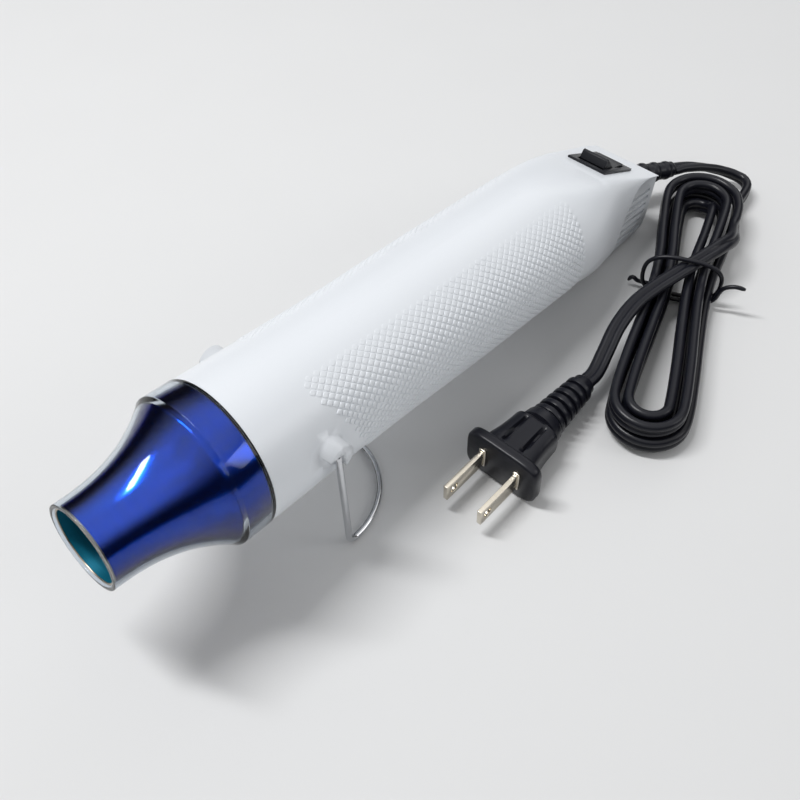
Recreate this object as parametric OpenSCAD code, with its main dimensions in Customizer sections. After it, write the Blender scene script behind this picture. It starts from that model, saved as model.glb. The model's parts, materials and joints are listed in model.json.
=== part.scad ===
// Embossing heat tool: a slim barrel with a clear nozzle guard, a wire stand and a mains lead.
// The tool is drawn along its own axis, nose towards -X, and then tipped to rest on its stand.

/* [Barrel] */
// Hinge station back to the rear face
rear_s = 174.5; // [165:1:180]
// Hinge station forward to the housing's front edge
front_s = 19.5; // [18:0.5:24]
// Outer radius at the front edge and along the grip
barrel_r = 22.2; // [21.5:0.1:23]
// How much slimmer the barrel is at its waist
waist_in = 0.6; // [0:0.1:1]
// Wall thickness of the moulded shells
wall = 2; // [1.6:0.1:2.4]
// Slope of the flat land that carries the switch, in degrees
land_slope = 19.8; // [17:0.2:21]
// Height of the rear face's top edge above the axis
rear_top = 3; // [1:0.5:5]
// Depth of the rear face's bottom edge below the axis
rear_bottom = 21.4; // [19:0.2:21.6]
// Half width of the rear face
tail_half = 12.6; // [11.5:0.1:13.5]
// Station where the sides start to narrow to the tail
tail_s = 129.5; // [120:1:134]

/* [Intake louvres] */
// Half distance between the two louvred panels
panel_half = 12.1; // [11:0.1:12.4]
// Width of one slot
slot_w = 1.5; // [1:0.1:1.8]
// Distance from slot to slot
slot_pitch = 3.1; // [2.8:0.1:3.4]
// Number of slots on each side
slot_count = 6; // [4:1:6]

/* [Nozzle] */
// Housing front edge to the nozzle mouth
guard_len = 41; // [38:0.5:44]
// Length of the guard's straight band
band_len = 9.5; // [8:0.5:11]
// How far the guard's band stands out of the barrel
band_over = 0.2; // [0:0.1:0.6]
// Outer radius of the mouth
mouth_r = 12.4; // [11.5:0.1:13.5]
// Wall of the clear guard
guard_wall = 1.6; // [1.2:0.1:1.9]
// Wall of the metal liner
liner_wall = 0.5; // [0.4:0.1:0.7]
// Outer radius of the heater tube
tube_r = 9.2; // [8.5:0.1:9.4]
// Wall of the heater tube
tube_wall = 0.6; // [0.4:0.1:0.8]
// Length of the heater tube
tube_len = 58; // [52:1:60]
// Turns of the heating coil
coil_turns = 9; // [6:1:10]
// Thickness of the heating wire
coil_wire = 0.8; // [0.6:0.1:1]

/* [Motor and fan] */
// Radius of the motor can
motor_r = 12; // [10:0.1:13.8]
// Length of the motor can
motor_len = 32; // [28:1:38]
// Station of the motor's front face
motor_s = 52; // [50:1:56]
// Radius of the motor shaft
shaft_r = 1; // [0.8:0.1:1.5]
// Running gap between the fan's tips and the housing
fan_gap = 1.2; // [1:0.1:2.5]
// Depth of the fan along the axis
fan_len = 12; // [9:1:13]
// Number of fan blades
fan_blades = 9; // [5:1:11]

/* [Switch] */
// Length of the switch bezel along the tool
bezel_l = 21; // [20:0.5:22]
// Width of the switch bezel
bezel_w = 15; // [14:0.5:16]
// Height of the bezel above the land
bezel_t = 0.8; // [0.5:0.1:1.2]
// Depth of the switch case below the land
case_d = 9; // [8:0.5:10]
// Throw of the rocker in degrees
rocker_throw = 20; // [14:1:22]

/* [Wire stand] */
// Radius of the stand's wire
wire_r = 1; // [0.8:0.1:1.2]
// Hinge axis down to the wire's centre on the table
leg_len = 44; // [42:1:50]
// Hinge height above the barrel's axis
hinge_u = 3; // [2:0.5:4]
// Radial clearance of the wire in its bore
pin_gap = 0.05; // [0.02:0.01:0.1]
// Radius of the hinge bosses
boss_r = 4.3; // [4:0.1:4.8]
// Half distance between the outer faces of the bosses
boss_face = 25.6; // [25.2:0.1:26]

/* [Mains lead] */
// Width of the flat twin lead
cord_w = 5.6; // [5:0.1:6]
// Thickness of the flat twin lead
cord_t = 3.2; // [2.8:0.1:3.4]
// Number of loops in the hank
hank_loops = 4; // [4:2:4]
// Length of a plug blade
blade_len = 17.5; // [16:0.5:18]
// Distance between the plug's two blades
blade_pitch = 12.7; // [12.5:0.1:12.9]

/* [Hidden] */
$fn = 64;
gap = 0.3;      // running gap between parts that move past each other
seat = 0.1;     // clearance of a piece that sits in another
eps = 0.01;     // overlap of cutters with a face

hinge_s = 0;                        // the hinge is the station that all others are counted from
mouth_s = front_s + guard_len;      // forward distance of the mouth
rear_edge_r = 4;                    // rounding of the rear face's bottom edge
top_edge_r = 3;                     // rounding of the rear face's top edge
slope = tan(land_slope);
land_len = 36;                      // raised land in front of the rear face
land_t = 0.4;                       // its height

// The tool leans on the stand's foot and on the rounded bottom edge of its rear face
hinge_z = leg_len + wire_r;
edge_s = rear_s - rear_edge_r;
edge_u = rear_edge_r - rear_bottom;
lean_a = edge_s - hinge_s;
lean_b = hinge_u - edge_u;
tilt = asin((hinge_z - rear_edge_r) / sqrt(lean_a * lean_a + lean_b * lean_b)) - atan2(lean_b, lean_a);
// Shift that centres the tool over the origin
front_x = -mouth_s * cos(tilt) - mouth_r * sin(tilt);
top_edge_u = rear_top + top_edge_r * slope - top_edge_r / cos(land_slope);
rear_x = (rear_s - top_edge_r) * cos(tilt) + top_edge_u * sin(tilt) + top_edge_r;
mid_x = (front_x + rear_x) / 2 - hinge_u * sin(tilt);
hinge_x = -mid_x;

// Places what is drawn along the tool's axis: hinge station at the hinge, nose up
module on_stand() {
    translate([hinge_x - hinge_u * sin(tilt), 0, hinge_z - hinge_u * cos(tilt)])
        rotate([0, tilt, 0]) children();
}

// Turns a profile of [radius, station] into a solid along +X
module along_axis() {
    rotate([0, 90, 0]) rotate_extrude($fn = 96) children();
}

module tube(r, len, s, wall_t = 0) {
    translate([s, 0, 0]) rotate([0, 90, 0]) difference() {
        cylinder(r = r, h = len);
        if (wall_t > 0) translate([0, 0, -1]) cylinder(r = r - wall_t, h = len + 2);
    }
}

function arc_points(cx, cy, r, a0, a1, n) =
    [for (i = [0:n]) [cx + r * cos(a0 + (a1 - a0) * i / n), cy + r * sin(a0 + (a1 - a0) * i / n)]];

// Barrel radius at a station: full at the front and along the grip, slim at the waist
waist_s = 26;
grip_s = 76;
function barrel_at(s) = let (away = min(abs(s - waist_s) / (grip_s - waist_s), 1))
    barrel_r - waist_in * (1 + cos(180 * away)) / 2;

// Solid of revolution of the barrel, drawn in by inset
module barrel_round(inset, from, to) {
    steps = 16;
    along_axis() polygon(concat([[0, from]],
        [for (i = [0:steps]) let (s = from + (to - from) * i / steps) [barrel_at(s) - inset, s]],
        [[0, to]]));
}

// Side view: level top, a soft break, the sloping land, and the rounded rear face
module side_outline(inset) {
    drop = inset / cos(land_slope);
    break_r = 50;
    break_s = rear_s - (barrel_r - inset - rear_top + drop) / slope;
    start_s = break_s - break_r * tan(land_slope / 2);
    top_y = rear_top - drop + (inset + top_edge_r) * slope - top_edge_r / cos(land_slope);
    belly = -barrel_r - 0.5 + inset;
    polygon(concat(
        [[-front_s - 1, belly], [-front_s - 1, barrel_r - inset]],
        arc_points(start_s, barrel_r - inset - break_r, break_r, 90, 90 - land_slope, 8),
        arc_points(rear_s - inset - top_edge_r, top_y, top_edge_r, 90 - land_slope, 0, 4),
        arc_points(edge_s - inset, edge_u + inset, rear_edge_r, 0, -90, 5),
        [[edge_s - 14, belly]]));
}

// Plan view: full width, then both sides bow in to the rear face
module plan_outline(inset) {
    corner_r = 3;
    bow = rear_s - tail_s;
    drop = barrel_r - tail_half;
    bow_r = (bow * bow + drop * drop) / (2 * drop);
    sweep = asin(bow / bow_r) - 2;
    half = concat([[-front_s - 1, barrel_r + 1], [tail_s, barrel_r + 1]],
        arc_points(tail_s, barrel_r - inset - bow_r, bow_r, 90, 90 - sweep, 12),
        arc_points(rear_s - inset - corner_r, tail_half - inset - corner_r, corner_r, 60, 0, 3));
    polygon(concat(half, [for (i = [len(half) - 1:-1:0]) [half[i][0], -half[i][1]]]));
}

// The whole moulded form, drawn in by inset, from a station back
module body_form(inset, from) {
    intersection() {
        barrel_round(inset, from, rear_s - inset);
        rotate([90, 0, 0]) linear_extrude(4 * barrel_r, center = true) side_outline(inset);
        linear_extrude(4 * barrel_r, center = true) plan_outline(inset);
    }
}

// Side view of the louvre panel: level under the land, then swept down to the belly
panel_len = 26;         // rear face forward to the panel's front edge
panel_drop = 2;         // panel's top edge below the rear face's top edge
panel_sweep = 12;       // radius of its front corner
slot_rim = 1.6;         // plain rim round the slots
slot_rear = 2.6;        // plain strip at the rear face
slot_low = 3.6 - rear_bottom;
module panel_outline(grow) {
    front = rear_s - panel_len;
    top = rear_top - panel_drop;
    past = rear_s + panel_sweep;
    polygon(concat([[past, top + grow]],
        arc_points(front + panel_sweep, top - panel_sweep, panel_sweep + grow, 90, 180, 8),
        [[front + 1 - grow, -barrel_r - 2], [past, -barrel_r - 2]]));
}

// Space outside a louvre panel, under the shell's overhanging edge
module panel_space(side, grow) {
    thick = barrel_r;
    y = panel_half - grow + thick / 2;
    translate([0, side * y, 0]) rotate([90, 0, 0])
        linear_extrude(thick, center = true) panel_outline(grow);
}

// Intake slots, parallel to the axis, that stop short of the rear face
module louvre_slots(side) {
    intersection() {
        for (i = [0:slot_count - 1])
            translate([rear_s - panel_len, side * (panel_half - wall / 2) - wall, slot_low + i * slot_pitch])
                cube([panel_len - slot_rear, 2 * wall, slot_w]);
        rotate([90, 0, 0]) linear_extrude(4 * barrel_r, center = true) panel_outline(-slot_rim);
    }
}

// Bosses that carry the stand
bore_r = wire_r + pin_gap;
slot_floor = boss_face - 2 * (wire_r + gap);
leg_y = slot_floor + gap + wire_r;
boss_in = 17.6;

module to_hinge(side) {
    translate([0, 0, hinge_u]) rotate([-90 * side, 0, 0]) children();
}

module hinge_boss(side) {
    to_hinge(side) translate([0, 0, boss_in]) cylinder(r = boss_r, h = boss_face - boss_in);
}

// Bore for the wire, and the open sector of the boss in which the leg swings
module hinge_bore(side) {
    room = wire_r + gap;
    reach = 2 * boss_r;
    to_hinge(side) translate([0, 0, boss_in - 1]) cylinder(r = bore_r, h = boss_face);
    translate([0, side * (slot_floor + reach / 2), hinge_u]) rotate([90, 0, 0])
        linear_extrude(reach, center = true) polygon(concat(
            [[room * cos(tilt) + reach * sin(tilt), room * sin(tilt) - reach * cos(tilt)]],
            arc_points(0, 0, room, tilt, 90, 6),
            [[-reach, room], [-reach, -reach]]));
}

// Switch place on the land: its own frame has +X down the slope and +Z out of the land
bezel_s = rear_s - 22;
module on_land() {
    translate([bezel_s, 0, rear_top + (rear_s - bezel_s) * slope + land_t])
        rotate([0, land_slope, 0]) children();
}

bezel_over = 1;         // bezel's overhang past the case
case_l = bezel_l - 2 * bezel_over;
case_w = bezel_w - 2 * bezel_over;
case_wall = 1.2;
case_floor = 1.5;
tab_pitch = 5;
tab_t = 0.8;
tab_w = 4;
tab_out = 6;            // length of the tabs under the case

module land_pad() {
    on_land() translate([22 - land_len, -tail_half, -3]) cube([land_len, 2 * tail_half, 3]);
}

// Screws run across the tool from the far side
screw_u = 15;           // distance of a screw above or below the axis
screw_front = 8;        // station of the front pair
screw_rear = tail_s - 29.5;
screw_tail = rear_s - 34.5;
screw_places = [[screw_front, -screw_u], [screw_front, screw_u], [screw_rear, -screw_u],
    [screw_rear, screw_u], [screw_tail, -screw_u]];
screw_seat = 14;
screw_tip = -11.5;
screw_r = 1.3;
screw_head_r = 2.6;
screw_head_t = 1.6;
recess_l = 3;           // cross recess: length, depth and width
recess_d = 1.2;
recess_w = 0.6;
module screw_post(r, from, to) {
    for (p = screw_places)
        translate([p[0], from, p[1]]) rotate([-90, 0, 0]) cylinder(r = r, h = to - from);
}

module housing() {
    difference() {
        union() {
            difference() {
                union() {
                    body_form(0, -front_s);
                    intersection() {
                        land_pad();
                        body_form(-land_t, 100);
                    }
                }
                difference() {
                    body_form(wall, -front_s - 1);
                    panel_space(1, wall);
                    panel_space(-1, wall);
                }
            }
            intersection() {
                body_form(1, -front_s);
                union() {
                    screw_post(3, -barrel_r, barrel_r);
                    carrier_ribs();
                }
            }
            for (side = [-1, 1]) hinge_boss(side);
        }
        for (side = [-1, 1]) {
            panel_space(side, 0);
            louvre_slots(side);
            hinge_bore(side);
        }
        on_land() translate([-(case_l + 2 * seat) / 2, -case_w / 2 - seat, -8])
            cube([case_l + 2 * seat, case_w + 2 * seat, 12]);
        translate([rear_s - wall - 1, 0, cord_u]) rotate([0, 90, 0]) cylinder(r = relief_r + seat, h = 9);
        screw_post(screw_r + seat, screw_tip - 1, barrel_r + 1);
        screw_post(screw_head_r + gap, screw_seat, barrel_r + 1);
    }
}

// Inner ribs that seat the motor carrier
module carrier_ribs() {
    rib_t = 1.5;
    rib_in = 1.6;
    for (s = [carrier_s - rib_t - seat, carrier_s + carrier_len + seat])
        difference() {
            tube(barrel_r, rib_t, s);
            tube(barrel_r - wall - rib_in, 3 * rib_t, s - rib_t);
        }
}

// All that lies on one side of the parting plane
module half_space(side) {
    reach = 2 * rear_s;
    translate([0, side * reach / 2, 0]) cube([2 * reach, reach, reach], center = true);
}

module housing_near() {
    color("white") intersection() {
        housing();
        half_space(-1);
    }
}

module housing_far() {
    color("whitesmoke") intersection() {
        housing();
        half_space(1);
    }
}

module housing_screws() {
    color("silver") difference() {
        union() {
            screw_post(screw_r, screw_tip, screw_seat + 0.5);
            screw_post(screw_head_r, screw_seat, screw_seat + screw_head_t);
        }
        for (p = screw_places, a = [0, 90])
            translate([p[0], screw_seat + screw_head_t - recess_d / 2 + eps, p[1]]) rotate([0, a, 0])
                cube([recess_l, recess_d, recess_w], center = true);
    }
}

// Radius of the guard's flare at a distance behind the mouth
band_r = barrel_r + band_over;
band_step = 0.6;
flare_len = guard_len - band_len;
flare_r = band_r - band_step;
function flare_at(x) = mouth_r + (flare_r - mouth_r) * pow(max(0, x / flare_len), 2.5);
function flare_points(inset, from, n) =
    [for (i = [0:n]) let (x = from + (flare_len - from) * i / n) [flare_at(x) - inset, x - mouth_s]];

spigot_len = 6;
spigot_t = 1.2;
spigot_r = barrel_at(-front_s) - wall - seat;

module nozzle_guard() {
    color("lightsteelblue", 0.6) along_axis() polygon(concat(
        flare_points(0, 0, 20),
        [[band_r, flare_len - mouth_s + band_step], [band_r, -front_s], [spigot_r, -front_s],
            [spigot_r, spigot_len - front_s], [spigot_r - spigot_t, spigot_len - front_s],
            [spigot_r - spigot_t, flare_len - mouth_s + guard_wall]],
        [for (p = [20:-1:0]) flare_points(guard_wall, 0, 20)[p]]));
}

liner_gap = 0.2;
liner_from = 2.5;       // liner's front edge behind the mouth
liner_past = 2;         // length of its hoop inside the spigot
module nozzle_liner() {
    out = guard_wall + liner_gap;
    back = flare_len - mouth_s + guard_wall;
    hoop_r = spigot_r - spigot_t - seat;
    outer = flare_points(out, liner_from, 18);
    inner = flare_points(out + liner_wall, liner_from, 18);
    color("mediumblue") along_axis() polygon(concat(
        outer,
        [[hoop_r, back], [hoop_r, liner_past - front_s], [hoop_r - liner_wall, liner_past - front_s],
            [hoop_r - liner_wall, back + liner_wall]],
        [for (i = [18:-1:0]) inner[i]]));
}

// Heater: a steel tube, a mica sleeve, a crossed mica core and the wire wound on it
tube_end = 14;          // station of the tube's rear end
tube_rim = 2.4;         // how far its rear rim stands out
tube_rim_t = 0.8;
core_len = 44;
core_back = 6;          // core's rear end to the tube's rear end
core_s = tube_end - core_back - core_len;
core_room = 3;          // from the core's edge to the tube's inside
core_half = tube_r - tube_wall - core_room;
mica_t = 0.6;
sleeve_t = 0.5;
sleeve_over = 4;        // length of the sleeve past each end of the core
coil_margin = 4;        // bare end of the core in front of and behind the winding
notch_in = 0.2;         // depth of the notches that hold the winding

module heater_tube() {
    color("silver") union() {
        tube(tube_r, tube_len, tube_end - tube_len, tube_wall);
        tube(tube_r + tube_rim, tube_rim_t, tube_end - tube_rim_t, tube_rim + tube_wall);
    }
}

module mica_sleeve() {
    color("tan") tube(tube_r - tube_wall - seat, core_len + 2 * sleeve_over, core_s - sleeve_over, sleeve_t);
}

module mica_core() {
    color("burlywood") difference() {
        union() for (a = [0, 90])
            translate([core_s, 0, 0]) rotate([a, 0, 0])
                translate([0, -core_half, -mica_t / 2]) cube([core_len, 2 * core_half, mica_t]);
        for (side = [-1, 1], a = [0, 90])
            rotate([a, 0, 0]) translate([core_s + core_len / 2, side * (core_half - notch_in + mica_t), 0])
                cube([core_len - coil_margin, 2 * mica_t, 3 * mica_t], center = true);
    }
}

// One solid through a list of rings of points, in triangles
module skin(rings, sides) {
    n = len(rings) / sides;
    polyhedron(rings, concat(
        [for (k = [1:sides - 2]) [0, k + 1, k]],
        [for (i = [0:n - 2], k = [0:sides - 1]) let (a = i * sides + k, b = i * sides + (k + 1) % sides)
            each [[a, b, b + sides], [a, b + sides, a + sides]]],
        [for (k = [1:sides - 2]) [(n - 1) * sides, (n - 1) * sides + k, (n - 1) * sides + k + 1]]),
        convexity = 12);
}

// One solid swept along a path; each ring is an oval turned about the path by its twist
function unit(v) = v / norm(v);
function tangent(path, i) = unit(path[min(i + 1, len(path) - 1)] - path[max(i - 1, 0)]);
function ring(p, t, half_w, half_t, turn, sides) =
    let (side = unit(cross(t, [0, 0, 1])), up = cross(side, t))
    [for (k = [0:sides - 1]) let (a = 360 * (k + 0.5) / sides, x = half_w * cos(a), y = half_t * sin(a))
        p + side * (x * cos(turn) - y * sin(turn)) + up * (x * sin(turn) + y * cos(turn))];
module swept(path, half_w, half_t, turns, sides) {
    skin([for (i = [0:len(path) - 1])
        each ring(path[i], tangent(path, i), half_w, half_t, turns[i], sides)], sides);
}

// Heating wire: one helix round the core, 8 rings a turn; each ring stands across the wire
coil_room = 0.35;
coil_r = core_half - notch_in + coil_wire / 2 + coil_room;
coil_pitch = (core_len - 2 * coil_margin) / coil_turns;
module heating_coil() {
    sides = 6;
    path = [for (i = [0:8 * coil_turns]) let (a = 45 * i)
        [core_s + coil_margin + coil_pitch * i / 8, coil_r * cos(a), coil_r * sin(a)]];
    rings = [for (i = [0:len(path) - 1]) let (t = tangent(path, i), p = path[i],
        out = unit([0, p[1], p[2]]), side = unit(cross(t, out)), up = cross(side, t))
        each [for (k = [0:sides - 1]) let (a = 360 * k / sides)
            p + coil_wire / 2 * (side * cos(a) + up * sin(a))]];
    color("dimgray") skin(rings, sides);
}

// Funnel that leads the fan's air into the heater tube and holds the tube's flange
funnel_s = 34;
funnel_t = 1.4;
funnel_gap = 0.15;
funnel_rim = 4;         // length of the funnel's straight rim
funnel_foot = 2.6;      // from the tube's end to the foot of the cone's inside
funnel_r = barrel_r - waist_in - wall - funnel_gap;
foot_r = tube_r + funnel_foot;
module tube_flange() {
    color("saddlebrown") along_axis() polygon([
        [tube_r - tube_wall, tube_end], [tube_r + tube_rim, tube_end], [foot_r + funnel_t, tube_end + 1],
        [funnel_r, funnel_s - funnel_rim], [funnel_r, funnel_s], [funnel_r - funnel_t, funnel_s],
        [funnel_r - funnel_t, funnel_s - funnel_rim], [foot_r, tube_end + funnel_foot],
        [tube_r - tube_wall, tube_end + 2]]);
}
// Inner radius of the funnel's cone at a station
function cone_at(s) = let (from = tube_end + funnel_foot, to = funnel_s - funnel_rim)
    foot_r + (funnel_r - funnel_t - foot_r) * (s - from) / (to - from);

// Thermal cut-out, lying on the funnel's inside with its leads
module thermal_fuse() {
    fuse_r = 1.6;
    fuse_len = 9;
    fuse_lead = 4;
    fuse_lead_r = 0.4;
    from = funnel_s - fuse_len - 2;
    fuse_u = cone_at(from - fuse_lead) - fuse_lead_r - gap;
    color("silver") translate([from, 0, fuse_u]) rotate([0, 90, 0]) {
        cylinder(r = fuse_r, h = fuse_len);
        translate([0, 0, -fuse_lead]) cylinder(r = fuse_lead_r, h = fuse_len + 2 * fuse_lead);
    }
}

// Fan: a cup on the shaft with pitched blades
hub_r = 8.5;
hub_wall = 1.4;
hub_face = 2;           // thickness of the cup's front face
vane_t = 1.2;
vane_angle = 38;
fan_back = 3;           // fan's rear edge to the motor's front face
fan_r = barrel_r - waist_in - wall - fan_gap;
fan_s = motor_s - fan_back - fan_len;
module fan_impeller() {
    color("black") difference() {
        union() {
            tube(hub_r, fan_len, fan_s);
            intersection() {
                difference() {
                    tube(fan_r, fan_len, fan_s);
                    tube(hub_r - 1, fan_len + 2, fan_s - 1);
                }
                for (i = [0:fan_blades - 1])
                    rotate([360 * i / fan_blades, 0, 0]) translate([fan_s + fan_len / 2, 0, 0])
                        rotate([0, 0, vane_angle])
                            translate([-fan_len, -vane_t / 2, 0]) cube([2 * fan_len, vane_t, fan_r + 2]);
            }
        }
        tube(hub_r - hub_wall, fan_len - hub_face, fan_s + hub_face);
        tube(shaft_r, 2 * fan_len, fan_s - fan_len / 2);
    }
}

module motor_shaft() {
    color("silver") tube(shaft_r, motor_s + motor_len + 2 - fan_s, fan_s);
}

// Motor: drawn can with a front boss, an end cap with brush terminals, held by a vaned carrier
module motor_can() {
    color("silver") difference() {
        union() {
            tube(motor_r, motor_len, motor_s);
            tube(3, 1.6, motor_s - 1.6);
        }
        tube(motor_r - 1, motor_len, motor_s + 1);
        tube(shaft_r + pin_gap, 10, motor_s - 5);
        for (a = [0, 180]) rotate([a, 0, 0]) translate([motor_s - 1, 0, 8]) rotate([0, 90, 0])
            cylinder(r = 1.2, h = 4);
    }
}

cap_len = 4;
module motor_cap() {
    color("dimgray") difference() {
        union() {
            tube(motor_r, cap_len, motor_s + motor_len);
            tube(motor_r - 1 - seat, 2, motor_s + motor_len - 2);
            tube(3, 1.2, motor_s + motor_len + cap_len);
        }
        tube(shaft_r + pin_gap, 30, motor_s + motor_len - 5);
        for (a = [90, 270]) rotate([a, 0, 0]) translate([motor_s + motor_len, -1.25, 8])
            cube([12, 2.5, 0.6]);
    }
}

module motor_terminals() {
    color("goldenrod") for (a = [90, 270]) rotate([a, 0, 0])
        translate([motor_s + motor_len + 0.5, -1.2, 8.05]) cube([cap_len + 6, 2.4, 0.5]);
}

carrier_s = motor_s + 4;
carrier_len = 16;
carrier_r = barrel_r - waist_in - wall - seat;
module motor_carrier() {
    color("gainsboro") difference() {
        union() {
            tube(carrier_r, carrier_len, carrier_s, 1.2);
            tube(motor_r + 1.6, carrier_len, carrier_s);
            for (i = [0:5]) rotate([60 * i + 30, 0, 0])
                translate([carrier_s, -0.6, motor_r + 1]) cube([carrier_len, 1.2, carrier_r - motor_r - 1.6]);
        }
        tube(motor_r + seat, carrier_len + 2, carrier_s - 1);
    }
}

// Rectifier: a small board on the motor's terminals with four diodes
board_s = motor_s + motor_len + cap_len + 4;
module rectifier_board() {
    color("darkgreen") difference() {
        tube(motor_r, 1.2, board_s);
        for (a = [90, 270]) rotate([a, 0, 0]) translate([board_s - 1, -1.3, 8]) cube([4, 2.6, 0.6]);
    }
}

module diodes() {
    color("black") for (y = [-4.5, -1.5, 1.5, 4.5])
        translate([board_s + 1.2 + 1.4, y, -3]) {
            cylinder(r = 1.35, h = 5);
            for (z = [-1.5, 5]) translate([-1.4, -0.3, z]) cube([1.7, 0.6, 1.5]);
        }
}

// Rocker switch, snapped into the land
pivot_z = 0.4;
rocker_pin_r = 1;
pivot_down = pivot_z + 1.6;
pin_in = 0.8;           // depth of the rocker's pins in the case's walls
rocker_w = case_w - 2 * case_wall - 2 * gap;
rocker_l = case_l - 2 * case_wall - 2 * gap;
module switch_case() {
    color("black") on_land() difference() {
        union() {
            translate([-bezel_l / 2, -bezel_w / 2, 0]) cube([bezel_l, bezel_w, bezel_t]);
            translate([-case_l / 2, -case_w / 2, -case_d]) cube([case_l, case_w, case_d + eps]);
        }
        translate([-case_l / 2 + case_wall, -case_w / 2 + case_wall, -case_d + case_floor])
            cube([case_l - 2 * case_wall, case_w - 2 * case_wall, 2 * case_d]);
        translate([0, -case_w / 2 + case_wall - pin_in, -pivot_down]) rotate([-90, 0, 0])
            cylinder(r = rocker_pin_r + pin_gap, h = case_w - 2 * (case_wall - pin_in));
        for (i = [-1:1]) translate([i * tab_pitch - tab_t / 2 - seat / 2, -tab_w / 2 - seat, -case_d - 1])
            cube([tab_t + seat, tab_w + 2 * seat, case_floor + 2]);
    }
}

// Rocker: two faces that meet in a shallow valley, with a pin on each side
module switch_rocker() {
    rock_r = 2.6;
    half = rocker_throw / 2;
    color("black") on_land() translate([0, 0, -pivot_down]) {
        rotate([0, half, 0]) intersection() {
            translate([0, rocker_w / 2, 0]) rotate([90, 0, 0]) linear_extrude(rocker_w) polygon([
                [-rocker_l / 2 + 0.9, 4.3], [-rocker_l / 2 + 1.6, 4.9], [0, 2.6],
                [rocker_l / 2 - 1.6, 4.9], [rocker_l / 2 - 0.9, 4.3], [rocker_l / 2 - 0.9, 1.6],
                [rock_r, -2.2], [-rock_r, -2.2], [-rocker_l / 2 + 0.9, 1.6]]);
            translate([-rocker_l / 2, -rocker_w / 2, -6]) cube([rocker_l, rocker_w, 12]);
        }
        pin_half = rocker_w / 2 + gap + pin_in;
        translate([0, -pin_half, 0]) rotate([-90, 0, 0]) cylinder(r = rocker_pin_r, h = 2 * pin_half);
    }
}

module switch_terminals() {
    color("goldenrod") on_land() for (i = [-1:1])
        translate([i * tab_pitch - tab_t / 2, -tab_w / 2, -case_d - tab_out])
            cube([tab_t, tab_w, tab_out + case_floor]);
}

// Leads inside the tail: two from the board to the switch, one from the mains lead to the switch
lead_r = 0.9;
module inner_leads() {
    from = board_s + 1.2;
    t1 = bezel_s - 8.4;
    routes = [
        [[from, 0, 5], [t1 - 22, 0, 5], [t1 - 8, 0, 2.4], [t1 - 1, 0, 2.2]],
        [[from, -4.2, 5], [t1 - 22, -4.2, 5], [t1 - 6, -4.2, 1.4], [t1 + 1, -4.2, 0.8],
            [t1 + 3.6, -3.8, 0.5], [t1 + 4.4, -2.2, 0.5]],
        [[rear_s - wall - 1.8, 0, cord_u], [rear_s - 13, 0, cord_u], [bezel_s + 6, 0, cord_u + 0.6],
            [bezel_s + 2.2, 0, cord_u + 2.4]]];
    color("firebrick") for (r = routes) swept(r, lead_r, lead_r, [for (p = r) 0], 6);
}

// Clamp that grips the lead behind the rear wall, held between the two panels
relief_r = 4;
cord_u = -6;
module cord_clamp() {
    half = panel_half - wall - seat;
    clamp_t = 5;
    clamp_h = 10;
    clamp_s = rear_s - 12;
    color("gainsboro") difference() {
        translate([clamp_s, -half, cord_u - clamp_h / 2]) cube([clamp_t, 2 * half, clamp_h]);
        translate([clamp_s - 1, 0, cord_u]) rotate([0, 90, 0]) cylinder(r = lead_r + 0.5, h = clamp_t + 2);
    }
}

// Stand: two pins, two legs and a half-ring foot, one bent wire
bend_in = wire_r + 0.2;
foot_bend = 3;
module wire_stand() {
    pin_from = boss_in + 0.6;
    color("silver") {
        for (side = [-1, 1]) {
            translate([hinge_x, side * pin_from, hinge_z]) rotate([-90 * side, 0, 0])
                cylinder(r = wire_r, h = leg_y - bend_in - pin_from);
            translate([hinge_x, side * (leg_y - bend_in), hinge_z - bend_in]) rotate([90, 0, 90 * side])
                rotate_extrude(angle = 90) translate([bend_in, 0]) circle(r = wire_r, $fn = 24);
            translate([hinge_x, side * leg_y, wire_r + foot_bend])
                cylinder(r = wire_r, h = hinge_z - bend_in - wire_r - foot_bend);
            translate([hinge_x + foot_bend, side * leg_y, wire_r + foot_bend]) rotate([90, 180, 0])
                rotate_extrude(angle = 90) translate([foot_bend, 0]) circle(r = wire_r, $fn = 24);
        }
        translate([hinge_x + foot_bend, 0, wire_r]) rotate([0, 0, -90])
            rotate_extrude(angle = 180) translate([leg_y, 0]) circle(r = wire_r, $fn = 24);
    }
}

// Strain relief: a collar in the rear wall, a soft elbow to the near side and a tapered stub
relief_yaw = 28;
relief_bend = 12;
relief_len = 15;
relief_tip_r = 3.2;
relief_out = 3;
module relief_end_frame() {
    translate([rear_s + relief_out, -relief_bend, cord_u]) rotate([0, 0, -relief_yaw])
        translate([0, relief_bend, 0]) rotate([0, 90, 0]) children();
}
module strain_relief() {
    flange_t = 1.5;
    color("black") on_stand() {
        translate([rear_s - wall - flange_t - 0.1, 0, cord_u]) rotate([0, 90, 0]) {
            cylinder(r = relief_r + 1.5, h = flange_t);
            cylinder(r = relief_r, h = flange_t + 0.1 + wall + relief_out + 0.3);
        }
        translate([rear_s + relief_out, -relief_bend, cord_u]) rotate([0, 0, 90 - relief_yaw])
            rotate_extrude(angle = relief_yaw) translate([relief_bend, 0]) circle(r = relief_r - 0.1);
        relief_end_frame() {
            for (i = [0:2]) translate([0, 0, 5 * i - 0.3]) cylinder(r = relief_r + 0.3 - 0.3 * i, h = 3.6);
            cylinder(r = relief_tip_r, h = relief_len);
        }
    }
}

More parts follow.
